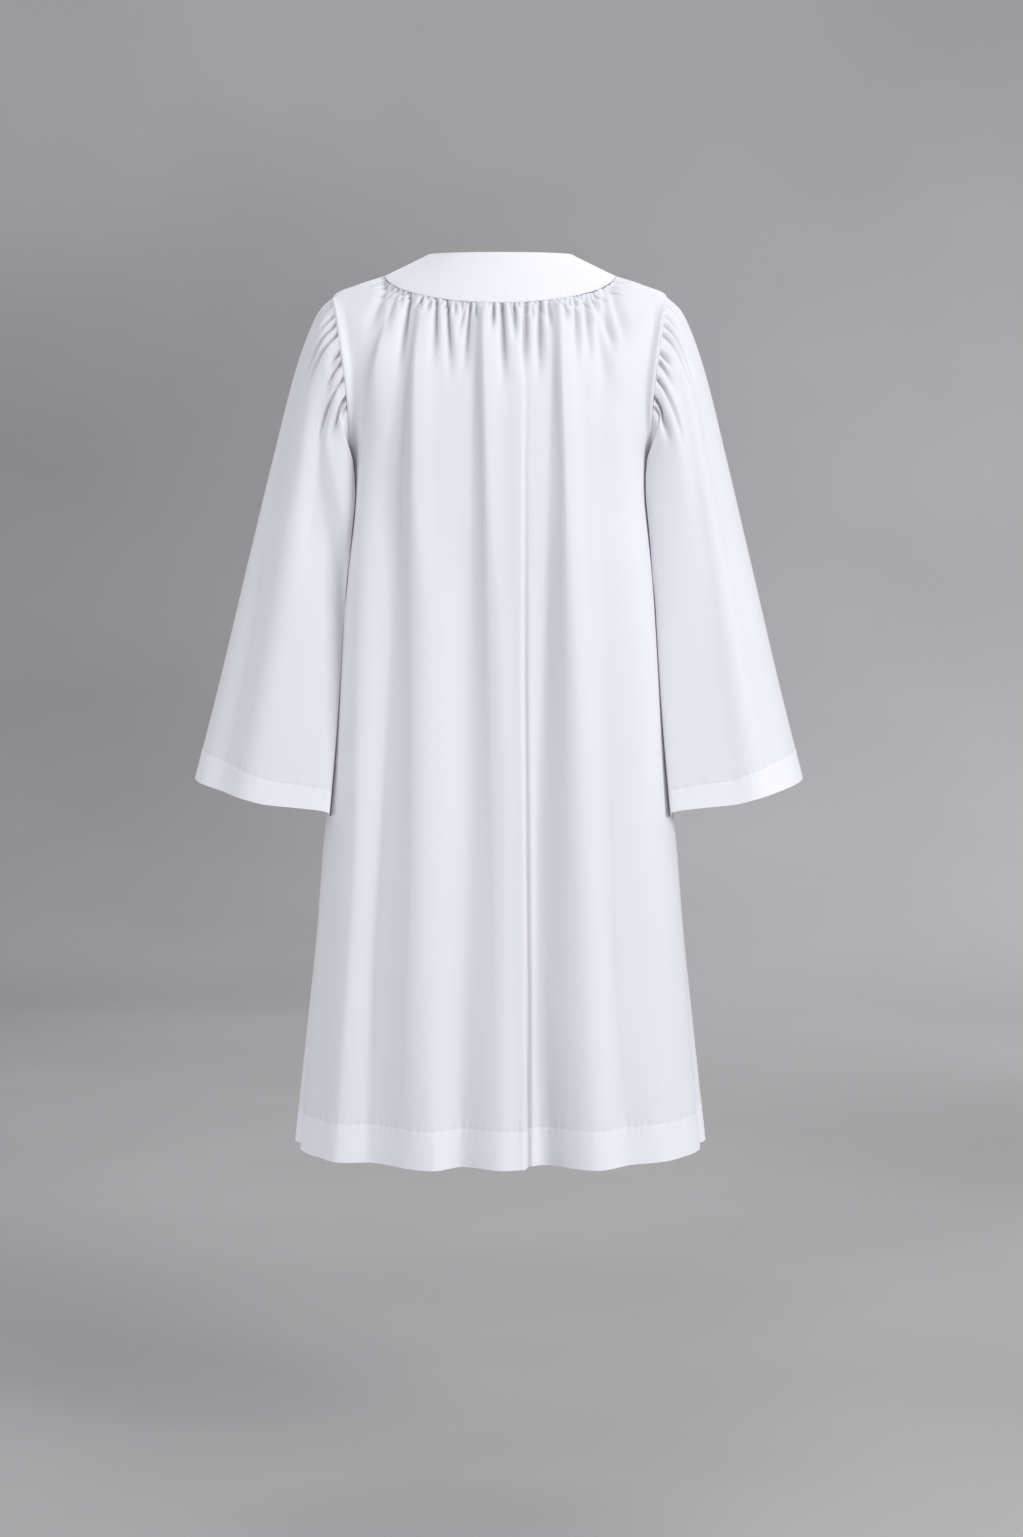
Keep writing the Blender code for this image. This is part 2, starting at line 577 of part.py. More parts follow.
def sleeve_angles():
    """The angles round a sleeve: those of the armhole's rows, and finer ones between them over the head."""
    rows = 180.0 * np.arange(ARMHOLE_SEGMENTS + 1) / ARMHOLE_SEGMENTS
    half = []
    for k in range(ARMHOLE_SEGMENTS):
        parts = HEAD_COLUMNS if k < HEAD_SEGMENTS else UNDERARM_COLUMNS
        half += [rows[k] + (rows[k + 1] - rows[k]) * part / parts for part in range(parts)]
    back = np.array(half + [180.0])
    front = -back[-2:0:-1]
    return np.concatenate([back, front])


def chord_ring(angles):
    """The armhole through the panels' own points, with straight runs between them."""
    rows = 180.0 * np.arange(2 * ARMHOLE_SEGMENTS) / ARMHOLE_SEGMENTS
    return round_the_ring(sleeve_points(np.zeros(1), np.where(rows > 180, rows - 360, rows))[0], angles)


def sleeve_relief(places, angles, lines, length):
    """The long folds of a sleeve and the gathers of its head."""
    place = places[:, None]
    angle = angles[None, :]
    relief = relief_between(np.repeat(angle, len(places), axis=0), lines, SLEEVE_PLACES, place)
    relief *= ramp(place, *SLEEVE_FOLDS_IN)
    over_head = 1 - ramp(np.abs(angle), *HEAD_GATHERS_OUT)
    fade = 1 - ramp(place * length / HEAD_GATHER_LENGTH, *HEAD_GATHER_FADE)
    step = 180.0 / ARMHOLE_SEGMENTS / HEAD_COLUMNS
    relief += HEAD_GATHER_FULL * over_head * fade * np.cos(math.pi * angle / step)
    return relief * (1 - ramp(np.abs(angle), *SLEEVE_FOLDS_OUT))


def build_body(rims):
    """The back and front panels, whose rims along the armholes point the way that is given."""
    rows = panel_rows()
    armhole = (rows >= ARMHOLE_TOP) & (rows <= UNDERARM)
    level_ends = (rows <= ARMHOLE_TOP) | (rows >= UNDERARM)
    behind = rims[: ARMHOLE_SEGMENTS + 1]
    in_front = np.concatenate([rims[:1], rims[: ARMHOLE_SEGMENTS - 1 : -1]])
    panels = (
        ("back_panel", 1, BACK_GATHERS, BACK_LINES, behind),
        ("front_panel", -1, FRONT_GATHERS, FRONT_LINES, in_front),
    )
    for name, side, gathers, lines, rim in panels:
        shares = gather_columns(gathers) * -side
        plain = body_points(rows, shares, side)
        out = normals(plain, 1.0)
        out[0] = yoke_seam_direction(shares, side)
        for edge in (0, -1):
            out[level_ends, edge, 1] = 0.0
            out[level_ends, edge] = unit(out[level_ends, edge])
            out[armhole, edge] = rim * (np.sign(shares[edge]), 1, 1)
        edge = distance_from_edges(plain)
        folds = (fold_relief(plain, lines) + side_tuck(plain, edge)) * ramp(edge, *FOLDS_IN)
        gathered = gather_relief(plain, shares, gathers) * ramp(edge, *GATHERS_IN)
        outer = plain + fold_direction(out, plain) * folds[..., None] + out * gathered[..., None]
        tighten(outer, plain, out)
        up = plain[..., 2] - plain[-1:, :, 2]
        inner = outer - out * hem_thickness(up, BODY_HEM_DEPTH)[..., None]
        make_piece(name, outer, inner)


def build_yoke():
    """The round yoke, smooth and doubled, from the neck edge to the seam that it shares with the panels."""
    behind = -gather_columns(BACK_GATHERS)
    in_front = gather_columns(FRONT_GATHERS)[1:-1]
    plain = yoke_points(YOKE_ROWS, np.concatenate([behind / 4, (2 - in_front) / 4]))
    out = normals(plain, 1.0, closed=True)
    out[-1] = np.concatenate([yoke_seam_direction(behind, 1), yoke_seam_direction(in_front, -1)])
    outer = plain.copy()
    outer[-1] += seam_step(plain[-1], plain[-2], out[-1])
    inner = outer - out * YOKE_CLOTH
    make_piece("yoke", outer, inner, closed=True)


def build_sleeves(rims):
    """Both sleeves, each from its armhole down to its wide mouth."""
    angles = sleeve_angles()
    top, mouth = SECTIONS[0], SECTIONS[-1]
    fall = math.hypot(mouth.outer_x - top.outer_x, mouth.outer_z - top.outer_z)
    stitched = mouth.place - SLEEVE_HEM_DEPTH / fall
    places = np.array([*SLEEVE_ROWS, stitched - HEM_STEP / fall, stitched, mouth.place])
    plain = sleeve_points(places, angles)
    plain[0] = chord_ring(angles)
    out = normals(plain, 1.0, closed=True)
    out[0] = round_the_ring(rims, angles)
    thickness = np.where(places >= stitched, HEM_CLOTH, CLOTH)[:, None, None]
    hands = (("sleeve_left", 1, LEFT_SLEEVE_LINES), ("sleeve_right", -1, RIGHT_SLEEVE_LINES))
    for name, mirror, lines in hands:
        relief = sleeve_relief(places, angles, lines, fall)
        outer = plain + out * relief[..., None]
        outer[0] += seam_step(plain[0], plain[1], out[0])
        inner = outer - out * thickness
        if mirror < 0:
            outer, inner = outer[:, ::-1] * (-1, 1, 1), inner[:, ::-1] * (-1, 1, 1)
        make_piece(name, outer, inner, closed=True)


def main():
    """Clears the scene and builds the five pieces."""
    for thing in list(bpy.data.objects):
        bpy.data.objects.remove(thing, do_unlink=True)
    panel_rims, sleeve_rims = armhole_rims()
    build_yoke()
    build_body(panel_rims)
    build_sleeves(sleeve_rims)


main()
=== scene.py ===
"""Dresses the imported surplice: gathered cloth, turned hems, seams with their stitches, and a studio."""

import logging
import math
from collections.abc import Sequence
from dataclasses import dataclass, fields
from enum import Enum

import bpy
import numpy as np
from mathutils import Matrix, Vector


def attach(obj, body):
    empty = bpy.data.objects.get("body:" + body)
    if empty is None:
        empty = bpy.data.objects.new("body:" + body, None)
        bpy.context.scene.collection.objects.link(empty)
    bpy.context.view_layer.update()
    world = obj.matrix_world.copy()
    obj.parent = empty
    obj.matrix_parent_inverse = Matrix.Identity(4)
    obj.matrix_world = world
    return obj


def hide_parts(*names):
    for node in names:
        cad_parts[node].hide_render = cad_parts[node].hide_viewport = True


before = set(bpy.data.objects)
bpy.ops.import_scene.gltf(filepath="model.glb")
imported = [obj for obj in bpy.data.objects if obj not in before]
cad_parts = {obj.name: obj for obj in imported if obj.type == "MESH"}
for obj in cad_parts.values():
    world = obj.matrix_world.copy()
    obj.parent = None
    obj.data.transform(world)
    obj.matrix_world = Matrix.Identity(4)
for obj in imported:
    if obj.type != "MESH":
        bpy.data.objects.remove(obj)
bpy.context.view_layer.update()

logging.basicConfig(level=logging.INFO, format="%(name)s: %(message)s")
LOG = logging.getLogger("surplice")

BODY = "root"

# Cloth and sewing, in metres
CLOTH = 0.0008
YOKE_CLOTH = 0.0014
HEM_CLOTH = 0.0016
SEAM_GAP = 0.00035
BODY_HEM_DEPTH = 0.048
SLEEVE_HEM_DEPTH = 0.038
STITCH_LIFT = 0.00012

# The fold of a hem: how softly it ends, how far it stands proud, and over how much of the cloth
HEM_EDGE = 0.001
HEM_PROUD = 0.0003
HEM_PROUD_EDGE = 0.0015

# The stitching of a hem: the groove it pulls, and how far its puckers reach
GROOVE_DEPTH = 0.0004
GROOVE_WIDTH = 0.0012
HEM_PUCKER_REACH = 0.010

# The share of the body's half width that its corners draw in at most, lower down and at the arm, and the
# depths between which one goes over to the other
SIDE_HOLLOW = 0.018
SIDE_HOLLOW_AT_ARM = 0.060
SIDE_HOLLOW_CHANGES = (0.28, 0.42)

# How much of the way from the side to the middle the body's side is followed, as a share
CORNER_END = 0.995

# The tables below give small distances in millimetres
MM_PER_METRE = 1000

# The angle, in degrees, from which an edge of cloth stays sharp
SHARP_FROM = 60

# How many points the fine lines have that rows and columns are measured on
LINE_POINTS = 641
LEVEL_POINTS = 481


class Side(Enum):
    """The back or the front of the body."""

    BACK = 1
    FRONT = -1


class Hand(Enum):
    """The wearer's left or right."""

    LEFT = 1
    RIGHT = -1


@dataclass(frozen=True)
class Level:
    """One level of the body: its middles, its side edge, and the form of its curve."""

    back_y: float
    back_z: float
    front_y: float
    front_z: float
    side_x: float
    side_y: float
    side_z: float
    turn: float
    squareness: float
    ease: float


@dataclass(frozen=True)
class Section:
    """One section of a sleeve: its outer and inner ends, its depths, its middle and its form."""

    place: float
    outer_x: float
    outer_z: float
    inner_x: float
    inner_z: float
    back: float
    front: float
    middle_y: float
    bow: float
    squareness: float
    inner_square: float


@dataclass(frozen=True)
class Line:
    """A ridge or a valley of the cloth: where it runs, and how far it stands out from the plain form."""

    path: tuple
    lift: tuple


@dataclass(frozen=True)
class Pleat:
    """The crisp edge of a fold: its X and, in millimetres, its lift at each fold height; its steep side."""

    path: tuple
    lift: tuple
    steep: int = 1


@dataclass(frozen=True)
class Gather:
    """A gather under a seam: its place there and at its end, its start, length, depth and width."""

    place: float
    end: float
    start: float
    length: float
    depth: float
    width: float


ARMHOLE_TOP = 2
UNDERARM = 7
LEVELS = (
    # back_y back_z  front_y front_z  side_x side_y side_z  turn squareness ease
    Level(0.108, -0.0375, -0.128, -0.114, 0.1460, -0.006, 0.0000, 90.0, 2.0, 0.1),
    Level(0.121, -0.0720, -0.139, -0.140, 0.1800, -0.005, -0.0110, 80.0, 2.05, 0.3),
    Level(0.130, -0.1060, -0.146, -0.165, 0.2105, -0.004, -0.0265, 68.0, 2.1, 0.9),
    Level(0.137, -0.1430, -0.151, -0.192, 0.0, 0.0, 0.0, 60.0, 2.2, 1.0),
    Level(0.141, -0.1820, -0.154, -0.220, 0.0, 0.0, 0.0, 55.0, 2.3, 1.0),
    Level(0.144, -0.2220, -0.157, -0.248, 0.0, 0.0, 0.0, 57.0, 2.4, 1.0),
    Level(0.146, -0.2620, -0.159, -0.276, 0.0, 0.0, 0.0, 73.0, 2.6, 1.0),
    Level(0.148, -0.3000, -0.161, -0.304, 0.1880, -0.004, -0.2500, 90.0, 3.0, 1.0),
    Level(0.151, -0.3900, -0.165, -0.390, 0.1940, 0.014, -0.3700, 90.0, 3.6, 1.0),
    Level(0.157, -0.5300, -0.171, -0.530, 0.2030, 0.022, -0.5300, 90.0, 4.0, 1.0),
    Level(0.167, -0.7200, -0.180, -0.720, 0.2200, 0.026, -0.7200, 90.0, 3.6, 1.0),
    Level(0.180, -0.9100, -0.191, -0.910, 0.2415, 0.026, -0.9080, 90.0, 3.0, 1.0),
    Level(0.196, -1.1055, -0.203, -1.1055, 0.2630, 0.024, -1.0990, 90.0, 2.6, 1.0),
)
HEM_LEVEL = len(LEVELS) - 1

SECTIONS = (
    # place outer_x outer_z  inner_x inner_z  back   front  middle_y bow  squareness inner_square
    Section(0.00, 0.2105, -0.0265, 0.1880, -0.250, 0.100, 0.092, -0.004, 0.007, 2.0, 2.0),
    Section(0.05, 0.2275, -0.0420, 0.1905, -0.268, 0.104, 0.096, -0.006, 0.006, 2.05, 2.05),
    Section(0.11, 0.2410, -0.0680, 0.1918, -0.292, 0.107, 0.100, -0.012, 0.003, 2.1, 2.15),
    Section(0.22, 0.2600, -0.1220, 0.1940, -0.340, 0.112, 0.106, -0.020, 0.0, 2.1, 3.0),
    Section(0.38, 0.2875, -0.2280, 0.1980, -0.414, 0.120, 0.114, -0.028, 0.0, 2.15, 4.5),
    Section(0.58, 0.3200, -0.3640, 0.2035, -0.506, 0.132, 0.126, -0.030, 0.0, 2.2, 6.0),
    Section(0.80, 0.3540, -0.5080, 0.2120, -0.600, 0.146, 0.140, -0.031, 0.0, 2.2, 6.0),
    Section(1.00, 0.3860, -0.6350, 0.2200, -0.678, 0.158, 0.152, -0.033, 0.0, 2.2, 5.0),
)

# The ridges and valleys of the body, from the wearer's left to the right: the X of each, in metres, and how
# far it stands out, in millimetres, at each of these heights
FOLD_HEIGHTS = (-0.034, -0.12, -0.25, -0.45, -0.70, -0.90, -1.105)
BACK_LINES = (
    Line((0.136, 0.160, 0.179, 0.1925, 0.205, 0.218, 0.230), (-2, -4, 0, 3, 5, 1, -2)),
    Line((0.129, 0.151, 0.165, 0.1725, 0.1775, 0.190, 0.205), (1, 3, 4, 5, 5, 5, 4)),
    Line((0.100, 0.1125, 0.124, 0.133, 0.149, 0.161, 0.165), (-2, -6, -9, -11, -14, -17, -20)),
    Line((0.091, 0.102, 0.100, 0.086, 0.0875, 0.090, 0.0825), (2, 4, 6, 7, 10, 11, 11)),
    Line((0.0325, 0.0315, 0.035, 0.0375, 0.037, 0.0425, 0.0475), (-2, -5, -8, -10, -10, -12, -20)),
    Line((0.020, 0.0175, 0.011, -0.0025, -0.010, -0.0075, -0.005), (2, 4, 5, 6, 6, 6, 5)),
    Line((-0.025, -0.026, -0.025, -0.025, -0.0275, -0.029, -0.030), (2, 3, 4, 5, 5, 4, -1)),
    Line((-0.0365, -0.0365, -0.0345, -0.0345, -0.0365, -0.038, -0.0385), (-1, -3, -4, -6, -10, -15, -25)),
    Line((-0.0625, -0.064, -0.060, -0.056, -0.049, -0.049, -0.056), (-2, -5, -8, -11, -14, -18, -32)),
    Line((-0.075, -0.076, -0.0825, -0.094, -0.105, -0.1125, -0.121), (2, 5, 8, 11, 13, 14, 15)),
    Line((-0.1175, -0.1225, -0.130, -0.135, -0.140, -0.1475, -0.1675), (-1, -3, -3, -1, 1, 0, -6)),
    Line((-0.131, -0.1365, -0.1575, -0.1775, -0.1875, -0.195, -0.210), (1, 2, 2, 4, 4, 3, 1)),
    Line((-0.142, -0.165, -0.180, -0.194, -0.208, -0.222, -0.234), (0, -1, 0, 3, 5, 1, -2)),
)
FRONT_LINES = (
    Line((0.138, 0.160, 0.172, 0.185, 0.195, 0.212, 0.226), (-2, -4, -3, -2, -3, -4, -5)),
    Line((0.126, 0.146, 0.158, 0.168, 0.174, 0.186, 0.198), (1, 3, 4, 5, 6, 6, 6)),
    Line((0.100, 0.108, 0.116, 0.124, 0.134, 0.145, 0.155), (-2, -5, -8, -10, -12, -14, -18)),
    Line((0.088, 0.096, 0.098, 0.092, 0.088, 0.088, 0.088), (2, 4, 6, 8, 9, 11, 12)),
    Line((0.052, 0.053, 0.053, 0.054, 0.057, 0.060, 0.066), (-2, -5, -7, -9, -10, -12, -16)),
    Line((0.040, 0.040, 0.036, 0.030, 0.026, 0.024, 0.020), (2, 4, 5, 6, 7, 8, 9)),
    Line((-0.006, -0.005, -0.006, -0.008, -0.012, -0.016, -0.022), (-2, -5, -6, -7, -8, -10, -16)),
    Line((-0.018, -0.018, -0.022, -0.028, -0.034, -0.042, -0.052), (2, 4, 5, 6, 7, 8, 9)),
    Line((-0.058, -0.060, -0.066, -0.074, -0.084, -0.094, -0.106), (-2, -5, -7, -9, -10, -13, -17)),
    Line((-0.072, -0.076, -0.086, -0.100, -0.116, -0.130, -0.146), (2, 4, 6, 8, 9, 11, 12)),
    Line((-0.104, -0.116, -0.128, -0.140, -0.154, -0.168, -0.184), (-2, -4, -6, -7, -8, -9, -11)),
    Line((-0.118, -0.134, -0.150, -0.166, -0.180, -0.196, -0.214), (1, 2, 3, 4, 4, 4, 4)),
    Line((-0.138, -0.158, -0.172, -0.186, -0.198, -0.214, -0.230), (-1, -3, -4, -4, -4, -4, -4)),
)

# The ridges and valleys of a sleeve, from its underside in front, over its outer edge, to its underside
# behind: the angle round it in degrees, and how far each stands out, in millimetres, at these places down it
SLEEVE_PLACES = (0.0, 0.33, 0.66, 1.0)
LEFT_SLEEVE_LINES = (
    Line((-110.0, -132.0, -140.0, -146.0), (-1, -4, -4, -3)),
    Line((-92.0, -108.0, -116.0, -122.0), (1, 2, 4, 5)),
    Line((-72.0, -80.0, -88.0, -92.0), (-1, -4, -6, -7)),
    Line((-54.0, -58.0, -62.0, -64.0), (1, 2, 4, 6)),
    Line((-30.0, -34.0, -38.0, -38.0), (-1, -2, -3, -4)),
    Line((8.0, 12.0, 28.0, 34.0), (0, 1, 4, 7)),
    Line((20.0, 30.0, 48.0, 55.0), (0, -3, -8, -10)),
    Line((48.0, 74.0, 96.0, 98.0), (1, 3, 4, 5)),
    Line((72.0, 102.0, 132.0, 138.0), (-1, -7, -3, -1)),
    Line((86.0, 116.0, 148.0, 152.0), (1, 2, 1, 0)),
)
RIGHT_SLEEVE_LINES = (
    Line((-112.0, -134.0, -142.0, -148.0), (-1, -4, -4, -3)),
    Line((-90.0, -106.0, -114.0, -118.0), (1, 2, 4, 5)),
    Line((-68.0, -76.0, -84.0, -88.0), (-1, -4, -6, -8)),
    Line((-48.0, -52.0, -56.0, -58.0), (1, 2, 4, 6)),
    Line((-22.0, -26.0, -28.0, -28.0), (-1, -2, -3, -3)),
    Line((20.0, 26.0, 30.0, 32.0), (1, 1, 2, 3)),
    Line((40.0, 52.0, 56.0, 60.0), (-1, -2, -2, -2)),
    Line((52.0, 66.0, 72.0, 78.0), (1, 1, 1, 1)),
    Line((66.0, 80.0, 88.0, 96.0), (-2, -2, -2, -1)),
    Line((82.0, 100.0, 114.0, 122.0), (1, 2, 3, 3)),
    Line((100.0, 134.0, 150.0, 154.0), (-2, -6, -4, -4)),
)

# The crisp edges of the main folds: how wide their steep side is at the top and at the hem, the depths
# between which it widens, how round their crest is, and how wide their gentle side is
PLEAT_STEEP_TOP = 0.0042
PLEAT_STEEP_HEM = 0.0120
PLEAT_WIDENS = (0.2, 1.0)
PLEAT_CREST = 0.0009
PLEAT_GENTLE = 0.034
BACK_PLEATS = (
    # path, lift, and -1 where the steep side faces the wearer's right
    Pleat((0.136, 0.154, 0.169, 0.176, 0.180, 0.184, 0.186), (4.0, 6.5, 5.5, 2.8, 0.7, 0.0, 0.0)),
    Pleat((0.098, 0.105, 0.107, 0.109, 0.1085, 0.114, 0.1205), (4.6, 8.0, 7.6, 5.4, 3.6, 2.6, 2.0)),
    Pleat((0.021, 0.020, 0.0175, 0.014, 0.009, 0.006, 0.004), (5.4, 8.4, 6.8, 4.0, 2.0, 1.1, 0.8)),
    Pleat((-0.024, -0.0265, -0.0275, -0.0275, -0.03, -0.029, -0.0335), (0.8, 3, 3.6, 2.8, 1.3, 0.6, 0.4), -1),
    Pleat((-0.072, -0.0745, -0.0785, -0.081, -0.083, -0.085, -0.088), (5.4, 8.4, 7.0, 4.6, 2.4, 1.4, 0.9)),
)
FRONT_PLEATS = (
    Pleat((0.086, 0.094, 0.098, 0.098, 0.096, 0.096, 0.096), (1.8, 2.8, 2.6, 2.0, 1.4, 1.0, 0.8)),
    Pleat((0.012, 0.012, 0.010, 0.008, 0.006, 0.004, 0.002), (1.6, 2.4, 2.2, 1.6, 1.2, 0.8, 0.6)),
    Pleat((-0.070, -0.074, -0.080, -0.088, -0.098, -0.108, -0.118), (1.8, 2.8, 2.4, 1.8, 1.2, 0.8, 0.6)),
)

# The curvature, in 1/m, of a valley that gets the full painted shade
PAINTED_SHADE_CURVE = 420.0

# How much longer and deeper every gather is than its row says
GATHER_LENGTHEN = 1.3
GATHER_DEEPEN = 1.9

# Along a gather: its width at the seam and how much it gains, as shares of its row's width, its depth right
# at the seam, as a share, how soon it is full, and the shares of its length between which it fades
GATHER_WIDTH_AT_SEAM = 0.85
GATHER_WIDTH_GAIN = 0.9
GATHER_DEPTH_AT_SEAM = 0.30
GATHER_FULL_AT = 0.007
GATHER_FADE = (0.35, 1.0)

# The gathers of the back under the yoke: X at the seam and at the end, distance from the seam where each
# starts, length and width in metres, depth in millimetres
BACK_GATHERS = (
    # place  end     start  length depth  width
    Gather(0.1420, 0.1720, 0.000, 0.080, 3.0, 0.0050),
    Gather(0.1350, 0.1400, 0.000, 0.030, 2.2, 0.0034),
    Gather(0.1270, 0.1480, 0.000, 0.070, 3.0, 0.0042),
    Gather(0.1210, 0.1250, 0.000, 0.030, 2.2, 0.0030),
    Gather(0.1125, 0.1260, 0.000, 0.095, 3.8, 0.0040),
    Gather(0.0975, 0.0980, 0.000, 0.022, 2.2, 0.0028),
    Gather(0.0875, 0.0880, 0.000, 0.024, 2.4, 0.0030),
    Gather(0.0790, 0.0815, 0.000, 0.085, 3.6, 0.0038),
    Gather(0.0660, 0.0595, 0.000, 0.090, 3.6, 0.0038),
    Gather(0.0560, 0.0555, 0.000, 0.026, 2.2, 0.0030),
    Gather(0.0460, 0.0500, 0.000, 0.050, 2.6, 0.0036),
    Gather(0.0375, 0.0450, 0.000, 0.085, 3.6, 0.0040),
    Gather(0.0300, 0.0295, 0.000, 0.020, 2.0, 0.0028),
    Gather(0.0087, 0.0085, 0.000, 0.038, 2.8, 0.0032),
    Gather(-0.0025, -0.0065, 0.000, 0.095, 4.2, 0.0038),
    Gather(-0.0160, -0.0210, 0.000, 0.048, 2.8, 0.0034),
    Gather(-0.0325, -0.0290, 0.000, 0.085, 4.2, 0.0038),
    Gather(-0.0420, -0.0420, 0.000, 0.022, 2.2, 0.0028),
    Gather(-0.0500, -0.0490, 0.000, 0.090, 4.2, 0.0040),
    Gather(-0.0610, -0.0640, 0.000, 0.036, 2.4, 0.0032),
    Gather(-0.0800, -0.0830, 0.000, 0.034, 2.6, 0.0032),
    Gather(-0.0870, -0.0880, 0.000, 0.020, 2.0, 0.0028),
    Gather(-0.0950, -0.0965, 0.000, 0.085, 3.4, 0.0038),
    Gather(-0.1020, -0.1040, 0.000, 0.024, 2.2, 0.0030),
    Gather(-0.1080, -0.1150, 0.000, 0.085, 3.4, 0.0040),
    Gather(-0.1160, -0.1230, 0.000, 0.030, 2.4, 0.0032),
    Gather(-0.1190, -0.1480, 0.000, 0.080, 3.2, 0.0048),
    Gather(-0.1230, -0.1430, 0.040, 0.120, 3.0, 0.0070),
    Gather(-0.1300, -0.1450, 0.000, 0.090, 3.0, 0.0044),
    Gather(-0.1380, -0.1650, 0.000, 0.090, 2.8, 0.0056),
)


def column(rows: tuple, name: str) -> np.ndarray:
    """One named column of a table, as an array."""
    return np.array([getattr(row, name) for row in rows], dtype=float)


def smooth(places: Sequence[float], values: Sequence[float], at: np.ndarray) -> np.ndarray:
    """A curve through a table's rows that never swings past them.

    Args:
        places: where the rows stand.
        values: what the rows hold.
        at: where the curve is read.

    Returns:
        The curve's values.
    """
    places = np.asarray(places, dtype=float)
    values = np.asarray(values, dtype=float)
    at = np.clip(np.asarray(at, dtype=float), places[0], places[-1])
    steps = np.diff(places)
    slopes = np.diff(values) / steps
    tangents = np.zeros(len(places))
    tangents[0], tangents[-1] = slopes[0], slopes[-1]
    for k in range(1, len(places) - 1):
        before, after = slopes[k - 1], slopes[k]
        if before * after > 0:
            first = 2 * steps[k] + steps[k - 1]
            second = steps[k] + 2 * steps[k - 1]
            tangents[k] = (first + second) / (first / before + second / after)
    k = np.clip(np.searchsorted(places, at, side="right") - 1, 0, len(steps) - 1)
    s = (at - places[k]) / steps[k]
    start = (1 + 2 * s) * (1 - s) ** 2 * values[k] + s * (1 - s) ** 2 * steps[k] * tangents[k]
    end = s**2 * (3 - 2 * s) * values[k + 1] + s**2 * (s - 1) * steps[k] * tangents[k + 1]
    return start + end


def ramp(value: np.ndarray, start: float, end: float) -> np.ndarray:
    """A soft step from 0 at start to 1 at end."""
    s = np.clip((value - start) / (end - start), 0.0, 1.0)
    return s * s * (3 - 2 * s)


def unit(vectors: np.ndarray) -> np.ndarray:
    """The same vectors, each of length one."""
    return vectors / np.linalg.norm(vectors, axis=-1, keepdims=True)


def rounded(share: np.ndarray, ease: float) -> np.ndarray:
    """Eases a share from 0 to 1 so that the surface is level where it crosses the shoulder."""
    return (np.sqrt(share**2 + ease**2) - ease) / (math.sqrt(1 + ease**2) - ease)


def normals(grid: np.ndarray, closed: bool = False) -> np.ndarray:
    """The outward direction of a grid's surface at each of its points.

    Args:
        grid: points whose rows run down and whose columns run from left to right as seen from outside.
        closed: whether the columns run all the way round.

    Returns:
        One direction for each point.
    """
    down = np.gradient(grid, axis=0)
    if closed:
        wide = np.concatenate([grid[:, -1:], grid, grid[:, :1]], axis=1)
        across = np.gradient(wide, axis=1)[:, 1:-1]
    else:
        across = np.gradient(grid, axis=1)
    return unit(np.cross(down, across))


def distance_down(grid: np.ndarray) -> np.ndarray:
    """How far each point lies from the first row, along its column."""
    steps = np.linalg.norm(np.diff(grid, axis=0), axis=-1)
    return np.concatenate([np.zeros((1, grid.shape[1])), np.cumsum(steps, axis=0)])


def distance_across(grid: np.ndarray) -> np.ndarray:
    """How far each point lies from the first column, along its row."""
    steps = np.linalg.norm(np.diff(grid, axis=1), axis=-1)
    return np.concatenate([np.zeros((len(grid), 1)), np.cumsum(steps, axis=1)], axis=1)


def seam_step(edge: np.ndarray, inside: np.ndarray, out: np.ndarray) -> np.ndarray:
    """Half a seam's gap, from an edge into its piece, at right angles to the rim."""
    way = inside - edge
    way = way - np.sum(way * out, axis=-1, keepdims=True) * out
    return SEAM_GAP / 2 * unit(way)


def graded(steps: tuple) -> np.ndarray:
    """Places from 0 on, whose spacing follows a short table.

    Args:
        steps: rows of (end, spacing) in metres.

    Returns:
        The places, in metres.
    """
    places = [0.0]
    for end, spacing in steps:
        count = max(1, round((end - places[-1]) / spacing))
        places += list(np.linspace(places[-1], end, count + 1)[1:])
    return np.array(places)


@dataclass(frozen=True)
class Cut:
    """The flat piece that a panel is cut from: its greatest width, its length and its area."""

    width: float
    length: float
    area: float

    @classmethod
    def of(cls, outer: np.ndarray) -> "Cut":
        """The cut of a grid of cloth, whose rows are as wide as the cloth is cut at each height."""
        width = distance_across(outer)[:, -1]
        length = distance_down(outer).mean(axis=1)
        area = float(np.sum(np.diff(length) * (width[1:] + width[:-1]) / 2))
        return cls(float(width.max()), float(length[-1]), area)


